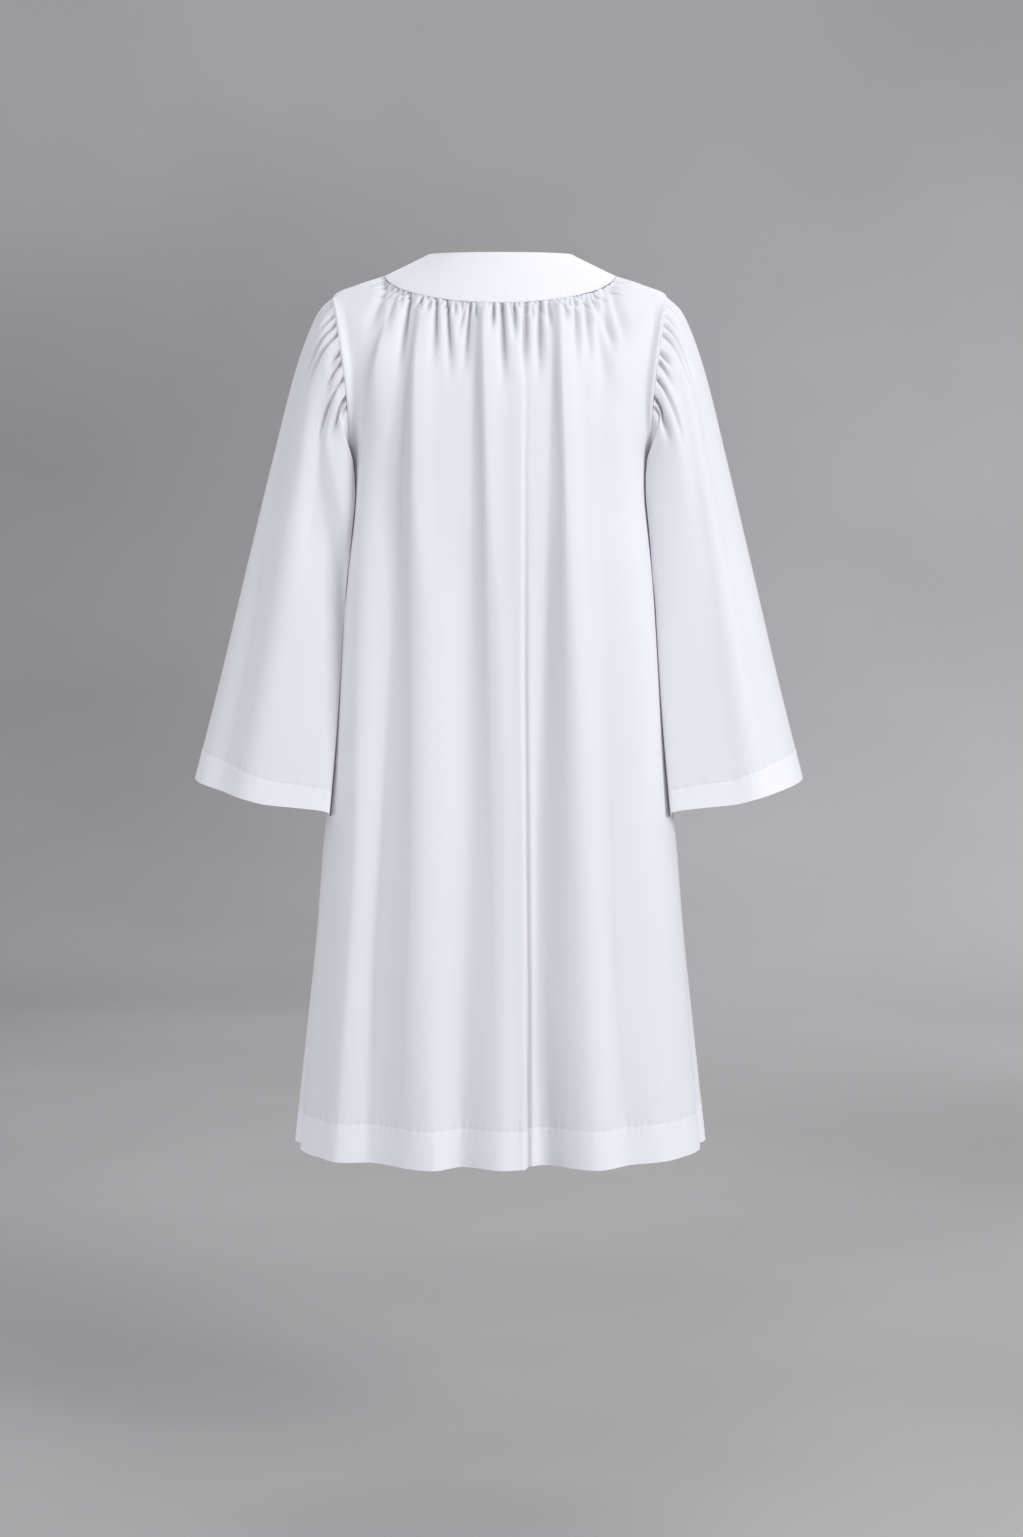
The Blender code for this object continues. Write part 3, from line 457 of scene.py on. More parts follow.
@dataclass(frozen=True)
class Forms:
    """The plain forms of the garment, before any fold: body, yoke and sleeve."""

    neck_half_width: float = 0.091
    neck_side: tuple = (-0.006, 0.0265)
    neck_back: tuple = (0.060, 0.0265)
    neck_front: tuple = (-0.086, -0.052)

    @staticmethod
    def sleeve(places: np.ndarray, angles: np.ndarray) -> np.ndarray:
        """The left sleeve as a grid.

        Args:
            places: shares of its length, from the armhole to the mouth.
            angles: degrees round it from its outer edge, positive behind.

        Returns:
            A grid of points.
        """
        given = column(SECTIONS, "place")
        s = {f.name: smooth(given, column(SECTIONS, f.name), places)[:, None] for f in fields(Section)}
        cosine = np.cos(np.radians(angles))[None, :]
        sine = np.sin(np.radians(angles))[None, :]
        power = 2 / s["squareness"]
        along = np.sign(cosine) * np.abs(cosine) ** power
        across = np.sign(sine) * np.abs(sine) ** power
        square = np.where(cosine < 0, s["inner_square"], s["squareness"])
        reach = (np.abs(along) ** square + np.abs(across) ** square) ** (-1 / square)
        along, across = along * reach, across * reach
        depth = np.where(sine > 0, s["back"], s["front"])
        half_x = (s["outer_x"] - s["inner_x"]) / 2
        half_z = (s["outer_z"] - s["inner_z"]) / 2
        x = s["inner_x"] + half_x + half_x * along - s["bow"] * sine**2
        y = s["middle_y"] + depth * across
        z = s["inner_z"] + half_z + half_z * along
        return np.stack([x, y, z], axis=-1)

    @staticmethod
    def body_side(y: np.ndarray, z: np.ndarray) -> np.ndarray:
        """How far the body reaches to the side at each Y and Z below the arms, its corner nearly square."""
        below = LEVELS[UNDERARM:]
        heights = -column(below, "side_z")
        names = ("side_x", "side_y", "back_y", "front_y", "squareness")
        at = {name: smooth(heights, column(below, name), -z) for name in names}
        middle = np.where(y > at["side_y"], at["back_y"], at["front_y"])
        share = np.clip((y - at["side_y"]) / (middle - at["side_y"]), 0.0, CORNER_END)
        square = at["squareness"]
        changed = ramp(-z, *SIDE_HOLLOW_CHANGES)
        hollow = SIDE_HOLLOW_AT_ARM + (SIDE_HOLLOW - SIDE_HOLLOW_AT_ARM) * changed
        return at["side_x"] * np.maximum((1 - share**square) ** (1 / square), 1 - hollow)

    @classmethod
    def level(cls, rows: np.ndarray, side: Side) -> tuple:
        """The middle, side edge, turn, squareness and ease of the body at each row."""
        number = np.arange(len(LEVELS))
        word = "back" if side is Side.BACK else "front"
        middle = np.stack([smooth(number, column(LEVELS, f"{word}_{axis}"), rows) for axis in "yz"], axis=-1)
        form = [smooth(number, column(LEVELS, name), rows) for name in ("turn", "squareness", "ease")]
        kept = [k for k in number if k <= ARMHOLE_TOP or k >= UNDERARM]
        names = ("side_x", "side_y", "side_z")
        edge = np.stack([smooth(kept, column(LEVELS, name)[kept], rows) for name in names], axis=-1)
        on_armhole = (rows > ARMHOLE_TOP) & (rows < UNDERARM)
        angles = side.value * 180.0 * (rows - ARMHOLE_TOP) / (UNDERARM - ARMHOLE_TOP)
        edge[on_armhole] = cls.sleeve(np.zeros(1), angles)[0][on_armhole]
        return middle, edge, np.radians(form[0]), form[1], form[2]

    @staticmethod
    def line(
        middle: Sequence[float], edge: Sequence[float], turn: float, squareness: float, ease: float
    ) -> tuple:
        """One row as a fine line from the middle of the body to its left side edge.

        Args:
            middle: the Y and Z of the row's middle.
            edge: the X, Y and Z of its side edge.
            turn: how far round the curve goes, in radians.
            squareness: how square the curve is, 2 for an ellipse.
            ease: how softly the row crosses the shoulder.

        Returns:
            The line's points, and how far along it each lies.
        """
        step = np.linspace(0.0, 1.0, LINE_POINTS)
        phi = turn * (1 - np.cos(math.pi * step)) / 2
        power = 2 / squareness
        x = edge[0] * (np.sin(phi) / math.sin(turn)) ** power
        end = max(math.cos(turn), 0.0) ** power
        share = (np.clip(np.cos(phi), 0.0, 1.0) ** power - end) / (1 - end)
        y = edge[1] + (middle[0] - edge[1]) * share
        z = edge[2] + (middle[1] - edge[2]) * rounded(share, ease)
        curve = np.stack([x, y, z], axis=-1)
        length = np.concatenate([[0.0], np.cumsum(np.linalg.norm(np.diff(curve, axis=0), axis=-1))])
        return curve, length

    @staticmethod
    def along(line: tuple, shares: np.ndarray, even: float | None = None) -> np.ndarray:
        """Points along one row.

        Args:
            line: the row's fine line and how far along it runs.
            shares: 0 at the middle of the body, and -1 and 1 at its side edges.
            even: a length whose even spacing the points near the middle keep.

        Returns:
            The points, one for each share.
        """
        curve, length = line
        even = length[-1] if even is None else even
        at = np.abs(shares) * (even + (length[-1] - even) * shares**2)
        points = np.stack([np.interp(at, length, curve[:, k]) for k in range(3)], axis=-1)
        points[:, 0] *= np.sign(shares)
        return points

    @classmethod
    def body(cls, rows: np.ndarray, shares: np.ndarray, side: Side) -> np.ndarray:
        """The back or the front of the body, as a grid of rows and columns."""
        at = cls.level(rows, side)
        lines = [cls.line(*(value[k] for value in at)) for k in range(len(rows))]
        ends = cls.level(np.array([ARMHOLE_TOP, UNDERARM], dtype=float), side)
        full = [cls.line(*(value[k] for value in ends))[1][-1] for k in range(2)]
        spread = np.interp(rows, (ARMHOLE_TOP, UNDERARM), full)
        even = [spread[k] if ARMHOLE_TOP < rows[k] < UNDERARM else None for k in range(len(rows))]
        return np.array([cls.along(line, shares, length) for line, length in zip(lines, even)])

    @classmethod
    def yoke(cls, rows: np.ndarray, turns: np.ndarray) -> np.ndarray:
        """The yoke, from the neck edge at row 0 to the yoke seam at row 1, all the way round.

        Args:
            rows: shares of the way down.
            turns: 0 at the middle of the back, 0.25 at the left shoulder, 0.5 in front.

        Returns:
            A grid of points.
        """
        place = (np.asarray(turns) % 1.0) * 4
        share = np.where(place <= 1, place, np.where(place <= 3, 2 - place, place - 4))
        behind = (place <= 1) | (place >= 3)
        edges = []
        for side, middle in ((Side.BACK, cls.neck_back), (Side.FRONT, cls.neck_front)):
            at = [value[0] for value in cls.level(np.zeros(1), side)]
            inner = cls.along(cls.line(middle, (cls.neck_half_width, *cls.neck_side), *at[2:]), share)
            edges.append((inner, cls.along(cls.line(*at), share)))
        inner = np.where(behind[:, None], edges[0][0], edges[1][0])
        outer = np.where(behind[:, None], edges[0][1], edges[1][1])
        rows = np.asarray(rows)[:, None, None]
        return inner[None] * (1 - rows) + outer[None] * rows


def feed(tree: bpy.types.NodeTree, node: bpy.types.Node, inputs: dict) -> None:
    """Fills a node's inputs.

    Args:
        tree: the tree that the node is in.
        node: the node.
        inputs: for an input's name or number, the output that is linked to it or the value that it takes.
    """
    for name, value in inputs.items():
        if isinstance(value, bpy.types.NodeSocket):
            tree.links.new(value, node.inputs[name])
        else:
            node.inputs[name].default_value = value


def add_node(
    tree: bpy.types.NodeTree, kind: str, inputs: dict | None = None, **settings: str
) -> bpy.types.Node:
    """Adds a node to a tree.

    Args:
        tree: the tree.
        kind: the node's type.
        inputs: what its inputs take, as feed() has it.
        **settings: the node's own settings, which are made before its inputs are filled.

    Returns:
        The node.
    """
    node = tree.nodes.new(kind)
    for name, value in settings.items():
        setattr(node, name, value)
    feed(tree, node, inputs or {})
    return node


def math_node(tree: bpy.types.NodeTree, operation: str, *values: object) -> bpy.types.NodeSocket:
    """Adds a Math node, and returns its output."""
    return add_node(tree, "ShaderNodeMath", dict(enumerate(values)), operation=operation).outputs[0]


def new_material(name: str) -> tuple:
    """A new material with its node tree and its shader."""
    material = bpy.data.materials.new(name)
    material.use_nodes = True
    return material, material.node_tree, material.node_tree.nodes["Principled BSDF"]


@dataclass(frozen=True)
class WhiteCloth:
    """Fine white poly-cotton in plain weave, with a soft sheen and a faint blue in its shade."""

    name: str
    colour: tuple = (0.805, 0.805, 0.84)
    shade: tuple = (0.77, 0.77, 0.815)
    shade_scale: float = 6.0
    roughness: float = 0.78
    gloss: float = 0.25
    sheen: float = 0.22
    sheen_roughness: float = 0.45
    thread_pitch: float = 0.00045
    weave_height: float = 0.00006
    weave_strength: float = 0.25
    crumple_size: float = 0.035
    crumple_height: float = 0.0009
    crumple_strength: float = 0.35
    hem_gain: float = 1.07
    # How much painted shade darkens the colour in the sharpest folds, standing in for their shadow
    crease_shade: float = 0.33

    def build(self) -> bpy.types.Material:
        """Makes the material.

        Returns:
            A material that reads the piece's own UV map, its hem attribute, and its mask of painted shade in
            sharp folds.
        """
        material, tree, shader = new_material(self.name)
        place = add_node(tree, "ShaderNodeTexCoord").outputs["Object"]
        looks = {
            "Base Color": self._tone(tree, place),
            "Normal": self._surface(tree, place),
            "Roughness": self.roughness,
            "Sheen Weight": self.sheen,
            "Sheen Roughness": self.sheen_roughness,
            "Specular IOR Level": self.gloss,
        }
        feed(tree, shader, looks)
        return material

    def _surface(self, tree: bpy.types.NodeTree, place: bpy.types.NodeSocket) -> bpy.types.NodeSocket:
        """The weave, along the cloth's two threads, on top of a soft crumple."""
        uv = add_node(tree, "ShaderNodeUVMap", uv_map="cloth")
        along = add_node(tree, "ShaderNodeSeparateXYZ", {"Vector": uv.outputs["UV"]})
        threads = []
        for axis in ("X", "Y"):
            wave = math_node(tree, "MULTIPLY", along.outputs[axis], 2 * math.pi / self.thread_pitch)
            threads.append(math_node(tree, "SINE", wave))
        weave = math_node(tree, "MULTIPLY", *threads)
        noise = {"Vector": place, "Scale": 1 / self.crumple_size, "Detail": 3.0, "Roughness": 0.5}
        crumple = add_node(tree, "ShaderNodeTexNoise", noise).outputs["Fac"]
        relief = {"Strength": self.crumple_strength, "Distance": self.crumple_height, "Height": crumple}
        soft = add_node(tree, "ShaderNodeBump", relief).outputs["Normal"]
        relief = {"Strength": self.weave_strength, "Distance": self.weave_height, "Height": weave}
        return add_node(tree, "ShaderNodeBump", {**relief, "Normal": soft}).outputs["Normal"]

    def _tone(self, tree: bpy.types.NodeTree, place: bpy.types.NodeSocket) -> bpy.types.NodeSocket:
        """The colour, a little uneven, lighter where the cloth is double, and darkened by painted shade in
        sharp folds.
        """
        noise = {"Vector": place, "Scale": self.shade_scale, "Detail": 4.0}
        uneven_tone = add_node(tree, "ShaderNodeTexNoise", noise).outputs["Fac"]
        colours = {"Factor": uneven_tone, "A": (*self.colour, 1.0), "B": (*self.shade, 1.0)}
        mix = add_node(tree, "ShaderNodeMix", colours, data_type="RGBA")
        hem = add_node(tree, "ShaderNodeAttribute", attribute_name="doubled").outputs["Fac"]
        # Painted shade: the colour is darkened where the cloth folds sharply inwards
        crease = add_node(tree, "ShaderNodeAttribute", attribute_name="crease").outputs["Fac"]
        gain = math_node(tree, "MULTIPLY_ADD", hem, self.hem_gain - 1, 1.0)
        gain = math_node(tree, "SUBTRACT", gain, math_node(tree, "MULTIPLY", crease, self.crease_shade))
        scaled = {0: mix.outputs["Result"], "Scale": gain}
        return add_node(tree, "ShaderNodeVectorMath", scaled, operation="SCALE").outputs["Vector"]


@dataclass(frozen=True)
class Thread:
    """White sewing thread with a slight twist to its surface."""

    name: str = "white_thread"
    colour: tuple = (0.78, 0.785, 0.82)
    roughness: float = 0.6
    sheen: float = 0.15
    twist_scale: float = 2500.0
    twist_strength: float = 0.4
    twist_height: float = 0.0001

    def build(self) -> bpy.types.Material:
        """Makes the material."""
        material, tree, shader = new_material(self.name)
        place = add_node(tree, "ShaderNodeTexCoord").outputs["Object"]
        noise = {"Vector": place, "Scale": self.twist_scale}
        twist = add_node(tree, "ShaderNodeTexNoise", noise).outputs["Fac"]
        relief = {"Strength": self.twist_strength, "Distance": self.twist_height, "Height": twist}
        looks = {
            "Base Color": (*self.colour, 1.0),
            "Roughness": self.roughness,
            "Sheen Weight": self.sheen,
            "Normal": add_node(tree, "ShaderNodeBump", relief).outputs["Normal"],
        }
        feed(tree, shader, looks)
        return material


@dataclass
class ClothPiece:
    """One cut piece of cloth: it turns a grid of outer points into a thin closed shell with its finish."""

    name: str
    node: str
    slot: str
    closed: bool = False

    def shell(
        self,
        outer: np.ndarray,
        inner: np.ndarray,
        doubled: np.ndarray,
        crease: np.ndarray,
        material: bpy.types.Material,
    ) -> bpy.types.Object:
        """Makes the piece's mesh.

        Args:
            outer: grid of points on the outer skin.
            inner: the same grid on the inner skin.
            doubled: for each point, 1 where the cloth is turned under and double, and 0 elsewhere.
            crease: for each point, how much painted shade darkens its colour, 1 in the sharpest valleys and 0
                where the cloth is level.
            material: the piece's finish.

        Returns:
            The piece, riding on the body.
        """
        rows, columns = outer.shape[:2]
        vertices = np.concatenate([outer.reshape(-1, 3), inner.reshape(-1, 3)])
        shift = rows * columns
        spans = columns if self.closed else columns - 1
        row = np.arange(rows - 1)[:, None]
        k = np.arange(spans)[None, :]
        a = row * columns + k
        b = row * columns + (k + 1) % columns
        c = b + columns
        d = a + columns
        skins = [np.stack([a, d, c, b], -1), np.stack([a, b, c, d], -1) + shift]
        k = np.arange(spans)
        top, after = k, (k + 1) % columns
        low = (rows - 1) * columns
        skins.append(np.stack([top, after, after + shift, top + shift], -1))
        skins.append(np.stack([after + low, top + low, top + low + shift, after + low + shift], -1))
        if not self.closed:
            up = np.arange(rows - 1) * columns
            down = up + columns
            last = columns - 1
            skins.append(np.stack([down, up, up + shift, down + shift], -1))
            skins.append(np.stack([up + last, down + last, down + last + shift, up + last + shift], -1))
        quads = np.concatenate([skin.reshape(-1, 4) for skin in skins])
        mesh = bpy.data.meshes.new(self.name)
        mesh.vertices.add(len(vertices))
        mesh.vertices.foreach_set("co", vertices.astype(np.float32).ravel())
        mesh.loops.add(quads.size)
        mesh.loops.foreach_set("vertex_index", quads.astype(np.int32).ravel())
        mesh.polygons.add(len(quads))
        mesh.polygons.foreach_set("loop_start", np.arange(0, quads.size, 4, dtype=np.int32))
        mesh.update(calc_edges=True)
        mesh.validate()
        self._lay_uv(mesh, outer)
        # The second attribute is the mask of painted shade in sharp folds, which the colour reads
        for name, values in (("doubled", doubled), ("crease", crease)):
            attribute = mesh.attributes.new(name, "FLOAT", "POINT")
            attribute.data.foreach_set("value", np.tile(values.ravel(), 2).astype(np.float32))
        mesh.shade_smooth()
        mesh.set_sharp_from_angle(angle=math.radians(SHARP_FROM))
        mesh.materials.append(material)
        piece = bpy.data.objects.new(self.name, mesh)
        bpy.context.scene.collection.objects.link(piece)
        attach(piece, BODY)
        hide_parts(self.node)
        LOG.info("%s: %d faces", self.name, len(mesh.polygons))
        return piece

    def _lay_uv(self, mesh: bpy.types.Mesh, outer: np.ndarray) -> None:
        """Gives the mesh a UV map in metres along the cloth's two threads."""
        across = distance_across(outer)
        down = distance_down(outer)
        uv = np.tile(np.stack([across, down], -1).reshape(-1, 2), (2, 1))
        layer = mesh.uv_layers.new(name="cloth")
        index = np.empty(len(mesh.loops), dtype=np.int32)
        mesh.loops.foreach_get("vertex_index", index)
        layer.data.foreach_set("uv", uv[index].astype(np.float32).ravel())


def painted_shade_from_creases(relief: np.ndarray, start: np.ndarray) -> np.ndarray:
    """How much painted shade darkens the colour at each point, from 0 to 1, by how sharply the cloth folds
    inwards there.

    Args:
        relief: how far each point stands out from the plain form.
        start: how far each point lies from the first column.

    Returns:
        1 where a valley is as sharp as PAINTED_SHADE_CURVE or sharper.
    """
    step = np.gradient(start, axis=1)
    curve = np.gradient(np.gradient(relief, axis=1) / step, axis=1) / step
    return np.clip(curve / PAINTED_SHADE_CURVE, 0.0, 1.0)


def relief_between(
    position: np.ndarray, lines: tuple, places: Sequence[float], at: np.ndarray
) -> np.ndarray:
    """How far the surface stands out between its ridges and valleys.

    Args:
        position: each point's position across the lines.
        lines: the ridges and valleys, in order.
        places: the places down the cloth at which they are given.
        at: each point's place down the cloth.

    Returns:
        How far each point moves out, in metres.
    """
    paths = [smooth(places, line.path, at) for line in lines]
    lifts = [smooth(places, line.lift, at) / MM_PER_METRE for line in lines]
    relief = lifts[0] + np.zeros(position.shape)
    for k in range(len(lines) - 1):
        relief += (lifts[k + 1] - lifts[k]) * ramp(position, paths[k], paths[k + 1])
    return relief


def pleat_relief(position: np.ndarray, pleats: tuple, at: np.ndarray) -> np.ndarray:
    """The crisp edges of folds: each falls off quickly on its steep side and slowly on the other.

    Args:
        position: each point's X.
        pleats: the table of edges.
        at: each point's depth below the origin.

    Returns:
        How far each point moves out, in metres.
    """
    heights = -np.array(FOLD_HEIGHTS)
    steep_width = PLEAT_STEEP_TOP + (PLEAT_STEEP_HEM - PLEAT_STEEP_TOP) * ramp(at, *PLEAT_WIDENS)
    relief = np.zeros(position.shape)
    for pleat in pleats:
        beyond = (position - smooth(heights, pleat.path, at)) * pleat.steep
        lift = smooth(heights, pleat.lift, at) / MM_PER_METRE
        steep = np.exp(-(np.sqrt(beyond**2 + PLEAT_CREST**2) - PLEAT_CREST) / steep_width)
        relief += lift * np.where(beyond > 0, steep, 1 - ramp(-beyond, 0.0, PLEAT_GENTLE))
    return relief


def eased_down(grid: np.ndarray, passes: int, share: np.ndarray) -> np.ndarray:
    """Evens out a grid's form down its columns, keeping its first and last rows.

    Args:
        grid: the points.
        passes: how often each point moves towards the middle of its two neighbours.
        share: from 0 for a point that stays to 1 for one that goes half of that way.

    Returns:
        The evened grid.
    """
    grid = grid.copy()
    for _ in range(passes):
        middle = (grid[:-2] + grid[2:]) / 2
        grid[1:-1] += share[1:-1, :, None] * 0.5 * (middle - grid[1:-1])
    return grid


def gather_relief(across: np.ndarray, down: np.ndarray, gathers: tuple) -> np.ndarray:
    """The gathers under a seam, as narrow valleys that fade as they run down.

    Args:
        across: each point's place across the piece, in metres or in degrees as the gathers have it.
        down: its distance from the seam, in metres.
        gathers: the table of gathers.

    Returns:
        How far each point moves out, in metres.
    """
    relief = np.zeros(across.shape)
    for gather in gathers:
        share = np.clip((down - gather.start) / (GATHER_LENGTHEN * gather.length), 0.0, 1.0)
        middle = gather.place + (gather.end - gather.place) * share
        width = gather.width * (GATHER_WIDTH_AT_SEAM + GATHER_WIDTH_GAIN * share)
        rise = ramp(down, gather.start - 0.001, gather.start + GATHER_FULL_AT)
        at_seam = GATHER_DEPTH_AT_SEAM if gather.start == 0 else 0.0
        strength = (at_seam + (1 - at_seam) * rise) * (1 - ramp(share, *GATHER_FADE))
        valley = np.exp(-(((across - middle) / width) ** 2))
        relief -= GATHER_DEEPEN * gather.depth / MM_PER_METRE * strength * valley
    return relief


def uneven(phase: np.ndarray, *swings: tuple) -> np.ndarray:
    """A phase made uneven by swings, each with its size and its rate."""
    return phase + sum(size * np.sin(rate * phase) for size, rate in swings)


def hem_seam(start: np.ndarray, above: np.ndarray, pitch: float, depth: float) -> np.ndarray:
    """The groove and the faint puckers along a hem's stitching, and the step of its doubled cloth.

    Args:
        start: how far each point lies from the first column.
        above: how far it lies above the stitching.
        pitch: how far apart the puckers are.
        depth: how deep they are.

    Returns:
        How far each point moves out, in metres.
    """
    phase = uneven(start / pitch, (0.4, 1.3))
    pucker = depth * np.sin(2 * math.pi * phase) * np.exp(-((above / HEM_PUCKER_REACH) ** 2))
    groove = -GROOVE_DEPTH * np.exp(-((above / GROOVE_WIDTH) ** 2))
    proud = HEM_PROUD * (1 - ramp(above, -HEM_PROUD_EDGE, HEM_PROUD_EDGE))
    return pucker + groove + proud


def wall(doubled: np.ndarray) -> np.ndarray:
    """The cloth's thickness at each point, for a panel or a sleeve."""
    return (CLOTH + (HEM_CLOTH - CLOTH) * doubled)[..., None]


@dataclass
class BodyPanel(ClothPiece):
    """The back or the front panel, gathered into the yoke and hemmed."""

    side: Side = Side.BACK
    columns: int = 336
    tuck_depth: float = 0.008
    tuck_at: float = 0.035
    tuck_width: float = 0.020
    tuck_start: float = -0.62
    level_folds_from: tuple = (0.15, 0.40)
    upper_ease: float = 0.62
    upper_reach: tuple = (0.12, 0.52)
    side_fade: float = 0.030
    sleeve_fade: float = 0.050
    sleeve_ends: tuple = (0.62, 0.80)
    folds_at_seam: float = 0.2
    folds_full_at: float = 0.014
    gather_margin: float = 0.008
    # How far from the sides the painted shade in sharp folds fades in
    crease_margin: float = 0.012
    shoulder_passes: int = 90
    shoulder_margins: tuple = (0.025, 0.012)
    shoulder_ends: tuple = (0.24, 0.34)
    teeth_pitch: float = 0.0086
    teeth_depth: float = 0.0009
    teeth_length: float = 0.026
    teeth_swing: float = 0.5
    teeth_full_to: float = 0.2
    pucker_pitch: float = 0.011
    pucker_depth: float = 0.00035

    def rows(self) -> np.ndarray:
        """The rows of the panel, close together at the gathers and at the hem's stitching."""
        number = np.linspace(0, HEM_LEVEL, LEVEL_POINTS)
        middle, _, _, _, _ = Forms.level(number, self.side)
        length = np.concatenate([[0.0], np.cumsum(np.linalg.norm(np.diff(middle, axis=0), axis=-1))])
        stitched = length[-1] - BODY_HEM_DEPTH
        steps = (
            # end, spacing
            (0.03, 0.0022),
            (0.12, 0.004),
            (0.32, 0.007),
            (stitched - 0.006, 0.011),
            (stitched + 0.006, 0.0015),
            (length[-1] - 0.004, 0.008),
            (length[-1], 0.002),
        )
        return np.interp(graded(steps), length, number)

    def build(
        self, lines: tuple, pleats: tuple, gathers: tuple, material: bpy.types.Material
    ) -> bpy.types.Object:
        """Makes the panel.

        Args:
            lines: its ridges and valleys.
            pleats: the crisp edges of its folds.
            gathers: its gathers under the yoke.
            material: its cloth.

        Returns:
            The finished piece.
        """
        rows = self.rows()
        shares = np.linspace(1.0, -1.0, self.columns + 1) * self.side.value
        plain = self._eased(Forms.body(rows, shares, self.side))
        out = self._directions(plain, rows)
        start = distance_across(plain)
        edge = np.minimum(start, start[:, -1:] - start)
        down = distance_down(plain)
        to_hem = down[-1:] - down
        folds = self._folds(plain, lines, pleats, edge)
        folds *= self.folds_at_seam + (1 - self.folds_at_seam) * ramp(down, 0.0, self.folds_full_at)
        relief = gather_relief(plain[..., 0], down, gathers) + self._teeth(start[:1], down)
        relief += hem_seam(start, to_hem - BODY_HEM_DEPTH, self.pucker_pitch, self.pucker_depth)
        relief *= ramp(edge, 0.0, self.gather_margin)
        level_way = out.copy()
        level_way[..., 2] *= 1 - ramp(-plain[..., 2], *self.level_folds_from)
        outer = plain + unit(level_way) * folds[..., None] + out * relief[..., None]
        outer[0] += seam_step(plain[0], plain[1], out[0])
        outer[:, 0] += seam_step(plain[:, 0], plain[:, 1], out[:, 0])
        outer[:, -1] += seam_step(plain[:, -1], plain[:, -2], out[:, -1])
        doubled = 1 - ramp(to_hem, BODY_HEM_DEPTH - HEM_EDGE, BODY_HEM_DEPTH + HEM_EDGE)
        inner = outer - out * wall(doubled)
        self.hem_line = outer + out * STITCH_LIFT
        self.hem_row = int(np.argmin(np.abs(to_hem[:, self.columns // 2] - BODY_HEM_DEPTH)))
        self.cut = Cut.of(outer)
        # Painted shade in the sharp valleys of the folds, kept off the side edges
        crease = painted_shade_from_creases(folds + relief, start) * ramp(edge, 0.0, self.crease_margin)
        return self.shell(outer, inner, doubled, crease, material)

    def _eased(self, plain: np.ndarray) -> np.ndarray:
        """The plain form with its shoulders rounded off, down each column."""
        start = distance_across(plain)
        edge = np.minimum(start, start[:, -1:] - start)
        from_side, from_seam = self.shoulder_margins
        share = ramp(edge, 0.0, from_side) * ramp(distance_down(plain), 0.0, from_seam)
        share *= 1 - ramp(-plain[..., 2], *self.shoulder_ends)
        return eased_down(plain, self.shoulder_passes, share)

    @staticmethod
    def _directions(plain: np.ndarray, rows: np.ndarray) -> np.ndarray:
        """The outward directions, level with the side seams so that the back and the front meet there."""
        out = normals(plain)
        at_side_seam = (rows <= ARMHOLE_TOP) | (rows >= UNDERARM)
        for edge in (0, -1):
            out[at_side_seam, edge, 1] = 0.0
            out[at_side_seam, edge] = unit(out[at_side_seam, edge])
        return out

    def _folds(self, plain: np.ndarray, lines: tuple, pleats: tuple, edge: np.ndarray) -> np.ndarray:
        """The large folds, softer at the top and fading towards the side seams.

        Args:
            plain: the plain form.
            lines: the panel's ridges and valleys.
            pleats: the crisp edges of its folds.
            edge: how far each point lies from the nearer side.

        Returns:
            How far each point moves out, in metres.
        """
        depth = -plain[..., 2]
        folds = relief_between(plain[..., 0], lines, -np.array(FOLD_HEIGHTS), depth)
        folds *= 1 - self.upper_ease * (1 - ramp(depth, *self.upper_reach))
        folds += pleat_relief(plain[..., 0], pleats, depth) + self._tuck(plain, edge)
        beside_sleeve = 1 - ramp(depth, *self.sleeve_ends)
        return folds * ramp(edge / (self.side_fade + self.sleeve_fade * beside_sleeve), 0.0, 1.0)

    def _tuck(self, plain: np.ndarray, edge: np.ndarray) -> np.ndarray:
        """The tuck near each side seam, which deepens towards the hem."""
        depth = self.tuck_depth * ramp(-plain[..., 2], -self.tuck_start, -FOLD_HEIGHTS[-1])
        return -depth * np.exp(-(((edge - self.tuck_at) / self.tuck_width) ** 2))

    def _teeth(self, start: np.ndarray, down: np.ndarray) -> np.ndarray:
        """The smallest puckers, right under the yoke's stitching."""
        phase = uneven(start / self.teeth_pitch, (0.35, 1.9), (0.2, 0.73))
        length = self.teeth_length * (1 + self.teeth_swing * np.sin(2.7 * phase))
        fade = 1 - ramp(down, self.teeth_full_to * length, length)
        return self.teeth_depth * (np.cos(2 * math.pi * phase) - 1) * fade


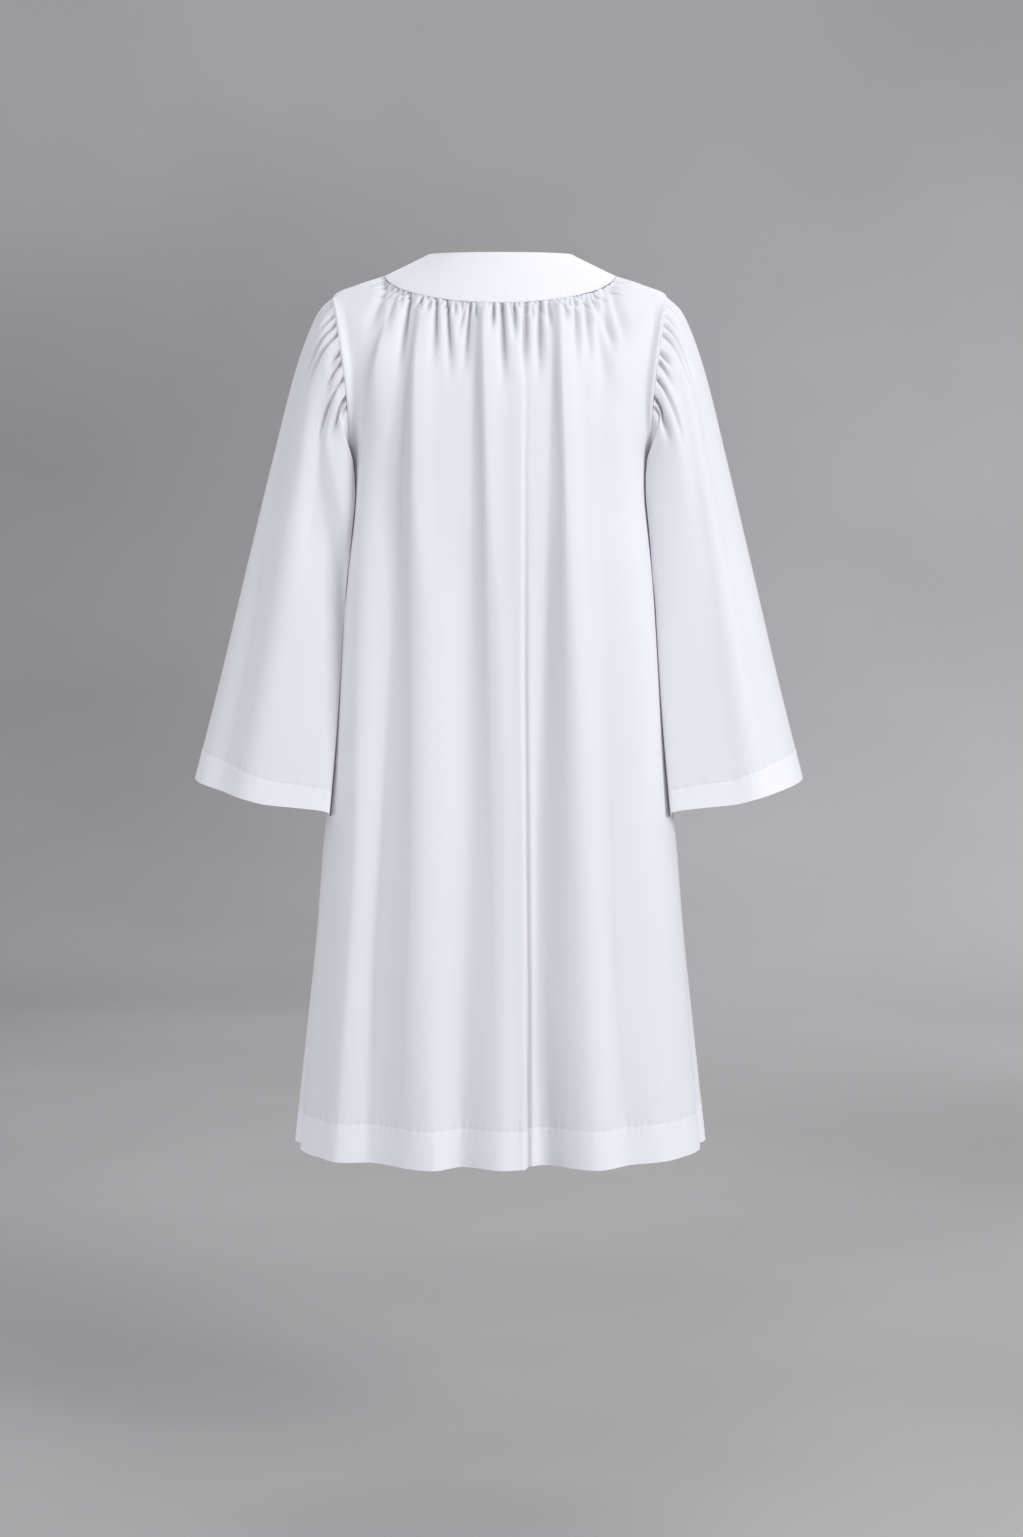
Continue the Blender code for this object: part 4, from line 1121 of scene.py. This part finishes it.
@dataclass
class Sleeve(ClothPiece):
    """A wide sleeve, gathered into its armhole and hemmed at its mouth."""

    hand: Hand = Hand.LEFT
    columns: int = 260
    closed: bool = True
    folds_full_at: float = 0.06
    under_arm: tuple = (128.0, 152.0)
    clear_of_body: float = 0.0012
    clear_at_armhole: float = 0.0065
    clear_changes: tuple = (0.22, 0.29)
    leans_round: tuple = (92.0, 122.0)
    leans_down: tuple = (0.015, 0.10)
    # The angles round the sleeve over which the painted shade in sharp folds ends
    creases_end: tuple = (120.0, 140.0)
    pucker_pitch: float = 0.012
    pucker_depth: float = 0.0003

    def places(self) -> tuple:
        """The rows, closest at the head and at the stitching.

        Returns:
            Each row's share of the way down, and the length of that way.
        """
        top, mouth = SECTIONS[0], SECTIONS[-1]
        fall = math.hypot(mouth.outer_x - top.outer_x, mouth.outer_z - top.outer_z)
        stitched = fall - SLEEVE_HEM_DEPTH
        steps = (
            # end, spacing
            (0.03, 0.002),
            (0.12, 0.004),
            (0.30, 0.007),
            (stitched - 0.006, 0.010),
            (stitched + 0.006, 0.0015),
            (fall - 0.004, 0.007),
            (fall, 0.002),
        )
        return graded(steps) / fall, fall

    def build(self, lines: tuple, gathers: tuple, material: bpy.types.Material) -> bpy.types.Object:
        """Makes the sleeve.

        Args:
            lines: its ridges and valleys, placed by the angle round it.
            gathers: the gathers of its head, placed by the same angle.
            material: its cloth.

        Returns:
            The finished piece.
        """
        places, fall = self.places()
        angles = np.linspace(0.0, 360.0, self.columns, endpoint=False)
        angles = np.where(angles > 180, angles - 360, angles)
        plain = Forms.sleeve(places, angles)
        out = normals(plain, closed=True)
        start = distance_across(plain)
        angle = np.broadcast_to(angles[None, :], start.shape)
        down = np.broadcast_to(places[:, None] * fall, start.shape)
        above = fall - down - SLEEVE_HEM_DEPTH
        relief = relief_between(angle, lines, SLEEVE_PLACES, places[:, None])
        relief *= ramp(places, 0.0, self.folds_full_at)[:, None]
        relief += gather_relief(angle, down, gathers)
        relief += hem_seam(start, above, self.pucker_pitch, self.pucker_depth)
        relief *= 1 - ramp(np.abs(angle), *self.under_arm)
        outer = plain + out * relief[..., None]
        outer[0] += seam_step(plain[0], plain[1], out[0])
        outer[..., 0] -= self._lean(outer, angle, places)
        doubled = 1 - ramp(above, -HEM_EDGE, HEM_EDGE)
        # Painted shade in the sharp valleys, ending towards the underside
        crease = painted_shade_from_creases(relief, start) * (1 - ramp(np.abs(angle), *self.creases_end))
        out[1:] = normals(outer, closed=True)[1:]
        inner = outer - out * wall(doubled)
        lifted = outer + out * STITCH_LIFT
        if self.hand is Hand.RIGHT:
            outer, inner, lifted = (grid[:, ::-1] * (-1, 1, 1) for grid in (outer, inner, lifted))
            doubled, crease = doubled[:, ::-1], crease[:, ::-1]
        self.hem_line = lifted
        self.hem_row = int(np.argmin(np.abs(above[:, 0])))
        self.cut = Cut.of(np.concatenate([outer, outer[:, :1]], axis=1))
        return self.shell(outer, inner, doubled, crease, material)

    def _lean(self, outer: np.ndarray, angle: np.ndarray, places: np.ndarray) -> np.ndarray:
        """How far the side towards the body comes in, so that the sleeve hangs close to the body.

        It keeps clear of the body's plain form, so a fold of the body can still reach into the sleeve.

        Args:
            outer: the left sleeve's outer points.
            angle: each point's angle round it.
            places: each row's share of the way down.

        Returns:
            A distance along X, in metres.
        """
        near_arm = 1 - ramp(-outer[..., 2], *self.clear_changes)
        clear = self.clear_of_body + (self.clear_at_armhole - self.clear_of_body) * near_arm
        beside = Forms.body_side(outer[..., 1], outer[..., 2]) + clear
        share = ramp(np.abs(angle), *self.leans_round) * ramp(places, *self.leans_down)[:, None]
        return share * np.maximum(outer[..., 0] - beside, 0.0)


@dataclass
class Yoke(ClothPiece):
    """The smooth double yoke, from the neck edge to the yoke seam."""

    columns: int = 360
    closed: bool = True
    rows_at_neck: tuple = (0.0, 0.015, 0.03, 0.05, 0.08)
    rows_at_seam: tuple = (0.93, 0.955, 0.975, 0.99, 1.0)
    pucker_pitch: float = 0.0115
    pucker_depth: float = 0.00035
    pucker_reach: float = 0.012
    roll_height: float = 0.0003
    roll_width: float = 0.004
    stitched_at: float = 0.0025
    groove_depth: float = 0.0003
    groove_width: float = 0.0011

    def build(self, material: bpy.types.Material) -> bpy.types.Object:
        """Makes the yoke from its cloth."""
        turns = -np.arange(self.columns) / self.columns
        rows = np.array([*self.rows_at_neck, *np.linspace(0.12, 0.9, 22), *self.rows_at_seam])
        plain = Forms.yoke(rows, turns)
        out = normals(plain, closed=True)
        down = distance_down(plain)
        to_seam = down[-1:] - down
        phase = uneven(distance_across(plain) / self.pucker_pitch, (0.4, 0.9), (0.25, 2.1))
        relief = self.pucker_depth * np.sin(2 * math.pi * phase) * np.exp(-to_seam / self.pucker_reach)
        relief += self.roll_height * np.exp(-((down / self.roll_width) ** 2))
        relief -= self.groove_depth * np.exp(-(((to_seam - self.stitched_at) / self.groove_width) ** 2))
        outer = plain + out * relief[..., None]
        outer[-1] += seam_step(plain[-1], plain[-2], out[-1])
        inner = outer - out * YOKE_CLOTH
        doubled = np.ones(relief.shape)
        self.lines = outer + out * STITCH_LIFT
        self.seam_row = int(np.argmin(np.abs(to_seam[:, 0] - self.stitched_at)))
        self.cut = Cut.of(np.concatenate([outer, outer[:, :1]], axis=1))
        # The yoke gets no painted shade in its folds
        return self.shell(outer, inner, doubled, 0.0 * doubled, material)


@dataclass
class Stitching:
    """Rows of stitches that follow a line on the cloth, made by Geometry Nodes."""

    material: bpy.types.Material
    pitch: float = 0.0032
    length: float = 0.0022
    radius: float = 0.00022
    sides: int = 5

    def __post_init__(self) -> None:
        """Builds the node tree with its named sizes."""
        self.sizes = {"Pitch": self.pitch, "Stitch Length": self.length, "Thread Radius": self.radius}
        self.tree = self._tree()

    def _tree(self) -> bpy.types.NodeTree:
        """The tree: a line of points becomes a row of short round stitches along it."""
        tree = bpy.data.node_groups.new("stitch_row", "GeometryNodeTree")
        face = tree.interface
        face.new_socket("Line", in_out="INPUT", socket_type="NodeSocketGeometry")
        for name, value in self.sizes.items():
            face.new_socket(name, in_out="INPUT", socket_type="NodeSocketFloat").default_value = value
        face.new_socket("Stitches", in_out="OUTPUT", socket_type="NodeSocketGeometry")
        given = add_node(tree, "NodeGroupInput").outputs
        curve = add_node(tree, "GeometryNodeMeshToCurve", {"Mesh": given["Line"]}).outputs["Curve"]
        spacing = {"Curve": curve, "Length": given["Pitch"]}
        spaced = add_node(tree, "GeometryNodeResampleCurve", spacing, mode="LENGTH").outputs["Curve"]
        tangent = {"Vector": add_node(tree, "GeometryNodeInputTangent").outputs["Tangent"]}
        turn = add_node(tree, "FunctionNodeAlignRotationToVector", tangent, axis="Z").outputs["Rotation"]
        form = {"Vertices": self.sides, "Radius": given["Thread Radius"], "Depth": given["Stitch Length"]}
        stitch = add_node(tree, "GeometryNodeMeshCylinder", form).outputs["Mesh"]
        row = {"Points": spaced, "Instance": stitch, "Rotation": turn}
        placed = add_node(tree, "GeometryNodeInstanceOnPoints", row).outputs["Instances"]
        real = add_node(tree, "GeometryNodeRealizeInstances", {"Geometry": placed}).outputs["Geometry"]
        finish = add_node(tree, "GeometryNodeSetMaterial", {"Geometry": real, "Material": self.material})
        add_node(tree, "NodeGroupOutput", {"Stitches": finish.outputs["Geometry"]})
        return tree

    def sew(self, name: str, line: np.ndarray, closed: bool = False) -> bpy.types.Object:
        """Sews one row of stitches.

        Args:
            name: the piece's name.
            line: the points that the row follows.
            closed: whether the row runs all the way round.

        Returns:
            The stitches, as a plain mesh that rides on the body.
        """
        count = len(line)
        edges = [(k, k + 1) for k in range(count - 1)]
        if closed:
            edges.append((count - 1, 0))
        guide_mesh = bpy.data.meshes.new(name + "_line")
        guide_mesh.from_pydata(line.tolist(), edges, [])
        guide = bpy.data.objects.new(name + "_line", guide_mesh)
        bpy.context.scene.collection.objects.link(guide)
        modifier = guide.modifiers.new("stitches", "NODES")
        modifier.node_group = self.tree
        for item in self.tree.interface.items_tree:
            if item.item_type == "SOCKET" and item.in_out == "INPUT" and item.name in self.sizes:
                modifier[item.identifier] = self.sizes[item.name]
        evaluated = guide.evaluated_get(bpy.context.evaluated_depsgraph_get())
        mesh = bpy.data.meshes.new_from_object(evaluated)
        mesh.name = name
        mesh.shade_smooth()
        guide.modifiers.remove(modifier)
        bpy.data.objects.remove(guide, do_unlink=True)
        row = bpy.data.objects.new(name, mesh)
        bpy.context.scene.collection.objects.link(row)
        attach(row, BODY)
        LOG.info("%s: %d faces", name, len(mesh.polygons))
        return row


@dataclass(frozen=True)
class Lamp:
    """A square soft light: its place, its size in metres and its power in watts."""

    name: str
    place: tuple
    size: float
    power: float


@dataclass
class Studio:
    """A plain pale floor and backdrop, soft lights, and the camera at the photograph's place.

    The stage's grey goes from dark to light across X between two ends and two shares, as painted light that
    is lighter on the key light's side, and further off along Z and Y it goes over to a share of its own.
    """

    scale: float = 0.00125
    image_height: int = 1537
    image_width: int = 1023
    middle_column: float = 500.0
    neck_row: float = 252.0
    neck_height: float = 0.030
    distance: float = 4.5
    subject_y: float = 0.10
    camera_height: float = -0.22
    floor_height: float = -1.55
    sensor: float = 36.0
    aim: tuple = (0.0, 0.0, -0.5)
    lamps: tuple = (
        Lamp("key", (-3.2, 3.3, 1.6), 1.9, 152.0),
        Lamp("fill", (4.2, 1.7, -0.3), 2.6, 48.0),
        Lamp("front", (-0.5, -3.0, 2.6), 2.4, 60.0),
    )
    air: tuple = (0.93, 0.935, 0.985, 1.0)
    air_strength: float = 0.62
    floor_near: float = 9.0
    wall_y: float = -7.0
    wall_top: float = 5.0
    half_width: float = 10.0
    bend: float = 3.0
    bend_steps: int = 16
    # The two greys that the painted light across X and the unevenness mix between
    dark: tuple = (0.345, 0.344, 0.343, 1.0)
    light: tuple = (0.660, 0.657, 0.654, 1.0)
    # Painted light: where across X the grey goes from dark to light, lighter on the key light's side
    light_across: tuple = ((1.77, -1.77), (0.06, 0.90))
    light_further: tuple = (("Z", (-0.35, 1.1), 0.62), ("Y", (-5.1, -2.05), 0.15))
    cloud_scale: float = 0.7
    cloud_share: float = 0.08

    def build(self) -> None:
        """Sets up the stage, the lights and the camera."""
        self._stage()
        self._lights()
        self._camera()

    def _stage(self) -> None:
        """A floor that curves up into a backdrop, far enough away to be clear of every view."""
        profile = [(self.floor_near, self.floor_height)]
        for k in range(self.bend_steps + 1):
            angle = math.pi / 2 * k / self.bend_steps
            y = self.wall_y + self.bend * (1 - math.sin(angle))
            profile.append((y, self.floor_height + self.bend * (1 - math.cos(angle))))
        profile.append((self.wall_y, self.wall_top))
        vertices = [(x, y, z) for x in (-self.half_width, self.half_width) for y, z in profile]
        count = len(profile)
        faces = [(k, k + 1, k + 1 + count, k + count) for k in range(count - 1)]
        mesh = bpy.data.meshes.new("backdrop")
        mesh.from_pydata(vertices, [], faces)
        mesh.shade_smooth()
        mesh.materials.append(self._grey())
        backdrop = bpy.data.objects.new("backdrop", mesh)
        bpy.context.scene.collection.objects.link(backdrop)

    def _grey(self) -> bpy.types.Material:
        """The stage's grey, with painted light: darker on the side away from the key light and lighter on its
        side, and uneven, as the photograph's backdrop is.
        """
        material, tree, shader = new_material("studio_grey")
        place = add_node(tree, "ShaderNodeTexCoord").outputs["Object"]
        axes = add_node(tree, "ShaderNodeSeparateXYZ", {"Vector": place}).outputs
        # Painted light across X, lighter towards the key light
        share = self._graded(tree, axes["X"], *self.light_across)
        for axis, ends, share_there in self.light_further:
            reach = self._graded(tree, axes[axis], ends, (0.0, 1.0))
            blend = {"Factor": reach, "A": share, "B": share_there}
            share = add_node(tree, "ShaderNodeMix", blend).outputs["Result"]
        noise = {"Vector": place, "Scale": self.cloud_scale, "Detail": 5.0}
        cloud = add_node(tree, "ShaderNodeTexNoise", noise).outputs["Fac"]
        cloud = self._graded(tree, cloud, (0.3, 0.7), (-self.cloud_share, self.cloud_share))
        total = math_node(tree, "ADD", share, cloud)
        greys = {"Factor": total, "A": self.dark, "B": self.light}
        mix = add_node(tree, "ShaderNodeMix", greys, data_type="RGBA").outputs["Result"]
        feed(tree, shader, {"Base Color": mix, "Roughness": 0.9, "Specular IOR Level": 0.2})
        return material

    @staticmethod
    def _graded(
        tree: bpy.types.NodeTree, value: bpy.types.NodeSocket, ends: tuple, sizes: tuple
    ) -> bpy.types.NodeSocket:
        """A node's output that goes softly from one size to the other as its value goes between the ends."""
        limits = {"From Min": ends[0], "From Max": ends[1], "To Min": sizes[0], "To Max": sizes[1]}
        inputs = {"Value": value, **limits}
        node = add_node(tree, "ShaderNodeMapRange", inputs, interpolation_type="SMOOTHSTEP")
        return node.outputs["Result"]

    def _lights(self) -> None:
        """A large soft key from the photograph's right, a weaker fill from its left, and an even sky."""
        scene = bpy.context.scene
        world = bpy.data.worlds.new("studio_air")
        world.use_nodes = True
        background = world.node_tree.nodes["Background"]
        feed(world.node_tree, background, {"Color": self.air, "Strength": self.air_strength})
        scene.world = world
        for lamp in self.lamps:
            data = bpy.data.lights.new(lamp.name, "AREA")
            data.size = lamp.size
            data.energy = lamp.power
            light = bpy.data.objects.new(lamp.name, data)
            self._point(light, Vector(lamp.place), Vector(self.aim) - Vector(lamp.place))
        scene.view_settings.view_transform = "Standard"

    @staticmethod
    def _point(thing: bpy.types.Object, place: Vector, way: Vector) -> None:
        """Puts a light or the camera in its place, looking one way."""
        thing.location = place
        thing.rotation_mode = "QUATERNION"
        thing.rotation_quaternion = way.to_track_quat("-Z", "Y")
        bpy.context.scene.collection.objects.link(thing)

    def _camera(self) -> None:
        """The camera, as far and as high as the photograph's perspective says."""
        aim_x = (self.middle_column - self.image_width / 2) * self.scale
        aim_z = self.neck_height - (self.image_height / 2 - self.neck_row) * self.scale
        place = Vector((aim_x, self.subject_y + self.distance, self.camera_height))
        way = Vector((aim_x, self.subject_y, aim_z)) - place
        data = bpy.data.cameras.new("camera")
        data.sensor_width = self.sensor
        data.lens = self.sensor * way.length / (self.image_height * self.scale)
        camera = bpy.data.objects.new("camera", data)
        self._point(camera, place, way)
        bpy.context.scene.camera = camera


@dataclass(frozen=True)
class Swing:
    """A size that swings round a mean from one gather to the next."""

    mean: float
    size: float
    rate: float
    phase: float = 0.0

    def at(self, number: int) -> float:
        """The size for one gather."""
        return self.mean + self.size * math.sin(self.rate * number + self.phase)


@dataclass(frozen=True)
class GatherRule:
    """Uneven gathers along a seam: how many, how far they go each way, and how each differs."""

    count: int
    reach: float
    wander: Swing
    length: Swing
    depth: Swing
    width: float
    spread: float

    def rows(self) -> tuple:
        """The gathers, as a table."""
        made = []
        for k in range(self.count):
            place = self.reach * (-1 + 2 * (k + 0.5) / self.count) + self.wander.at(k)
            row = Gather(place, place * self.spread, 0.0, self.length.at(k), self.depth.at(k), self.width)
            made.append(row)
        return tuple(made)


# The gathers of a sleeve's head, placed and wide in degrees, and those of the front, in metres
HEAD_GATHERS = GatherRule(
    count=22,
    reach=112.0,
    wander=Swing(0.0, 2.2, 2.3),
    length=Swing(0.075, 0.045, 1.7, 0.4),
    depth=Swing(3.4, 1.0, 2.9, 1.0),
    width=1.9,
    spread=0.98,
)
FRONT_GATHERS = GatherRule(
    count=30,
    reach=0.136,
    wander=Swing(0.0, 0.0022, 2.1),
    length=Swing(0.055, 0.035, 1.9, 0.3),
    depth=Swing(3.3, 0.9, 2.7, 0.8),
    width=0.0042,
    spread=1.08,
)


def declare(piece: bpy.types.Object, cut: Cut) -> None:
    """States one piece of cloth with its cut.

    Args:
        piece: the cloth.
        cut: what it is cut from.
    """
    LOG.info("%s: cut %.3f x %.3f m, %.3f square metres", piece.name, cut.width, cut.length, cut.area)


def main() -> None:
    """Builds the studio and the garment, piece by piece."""
    Studio().build()
    body_cloth = WhiteCloth("body_cloth_white").build()
    sleeve_cloth = WhiteCloth("sleeve_cloth_white").build()
    yoke_cloth = WhiteCloth("yoke_cloth_white", crumple_height=0.0004).build()

    yoke = Yoke("yoke_cloth", "yoke", "yoke_cloth")
    yoke_piece = yoke.build(yoke_cloth)
    back = BodyPanel("back_cloth", "back_panel", "body_cloth", side=Side.BACK)
    back_piece = back.build(BACK_LINES, BACK_PLEATS, BACK_GATHERS, body_cloth)
    front = BodyPanel("front_cloth", "front_panel", "body_cloth", side=Side.FRONT, columns=260)
    front_piece = front.build(FRONT_LINES, FRONT_PLEATS, FRONT_GATHERS.rows(), body_cloth)
    sleeves = []
    for hand, lines in ((Hand.LEFT, LEFT_SLEEVE_LINES), (Hand.RIGHT, RIGHT_SLEEVE_LINES)):
        word = hand.name.lower()
        sleeve = Sleeve(f"sleeve_{word}_cloth", f"sleeve_{word}", "sleeve_cloth", hand=hand)
        sleeves.append((sleeve, sleeve.build(lines, HEAD_GATHERS.rows(), sleeve_cloth), word))

    stitching = Stitching(Thread().build())
    sewn = {
        "yoke": [stitching.sew("stitches_yoke", yoke.lines[yoke.seam_row], closed=True)],
        "back": [stitching.sew("stitches_back_hem", back.hem_line[back.hem_row])],
        "front": [stitching.sew("stitches_front_hem", front.hem_line[front.hem_row])],
    }
    for sleeve, _, word in sleeves:
        line = sleeve.hem_line[sleeve.hem_row]
        sewn[word] = [stitching.sew(f"stitches_sleeve_{word}", line, closed=True)]

    declare(yoke_piece, yoke.cut)
    declare(back_piece, back.cut)
    declare(front_piece, front.cut)
    for sleeve, piece, word in sleeves:
        declare(piece, sleeve.cut)


if __name__ == "__main__":
    main()
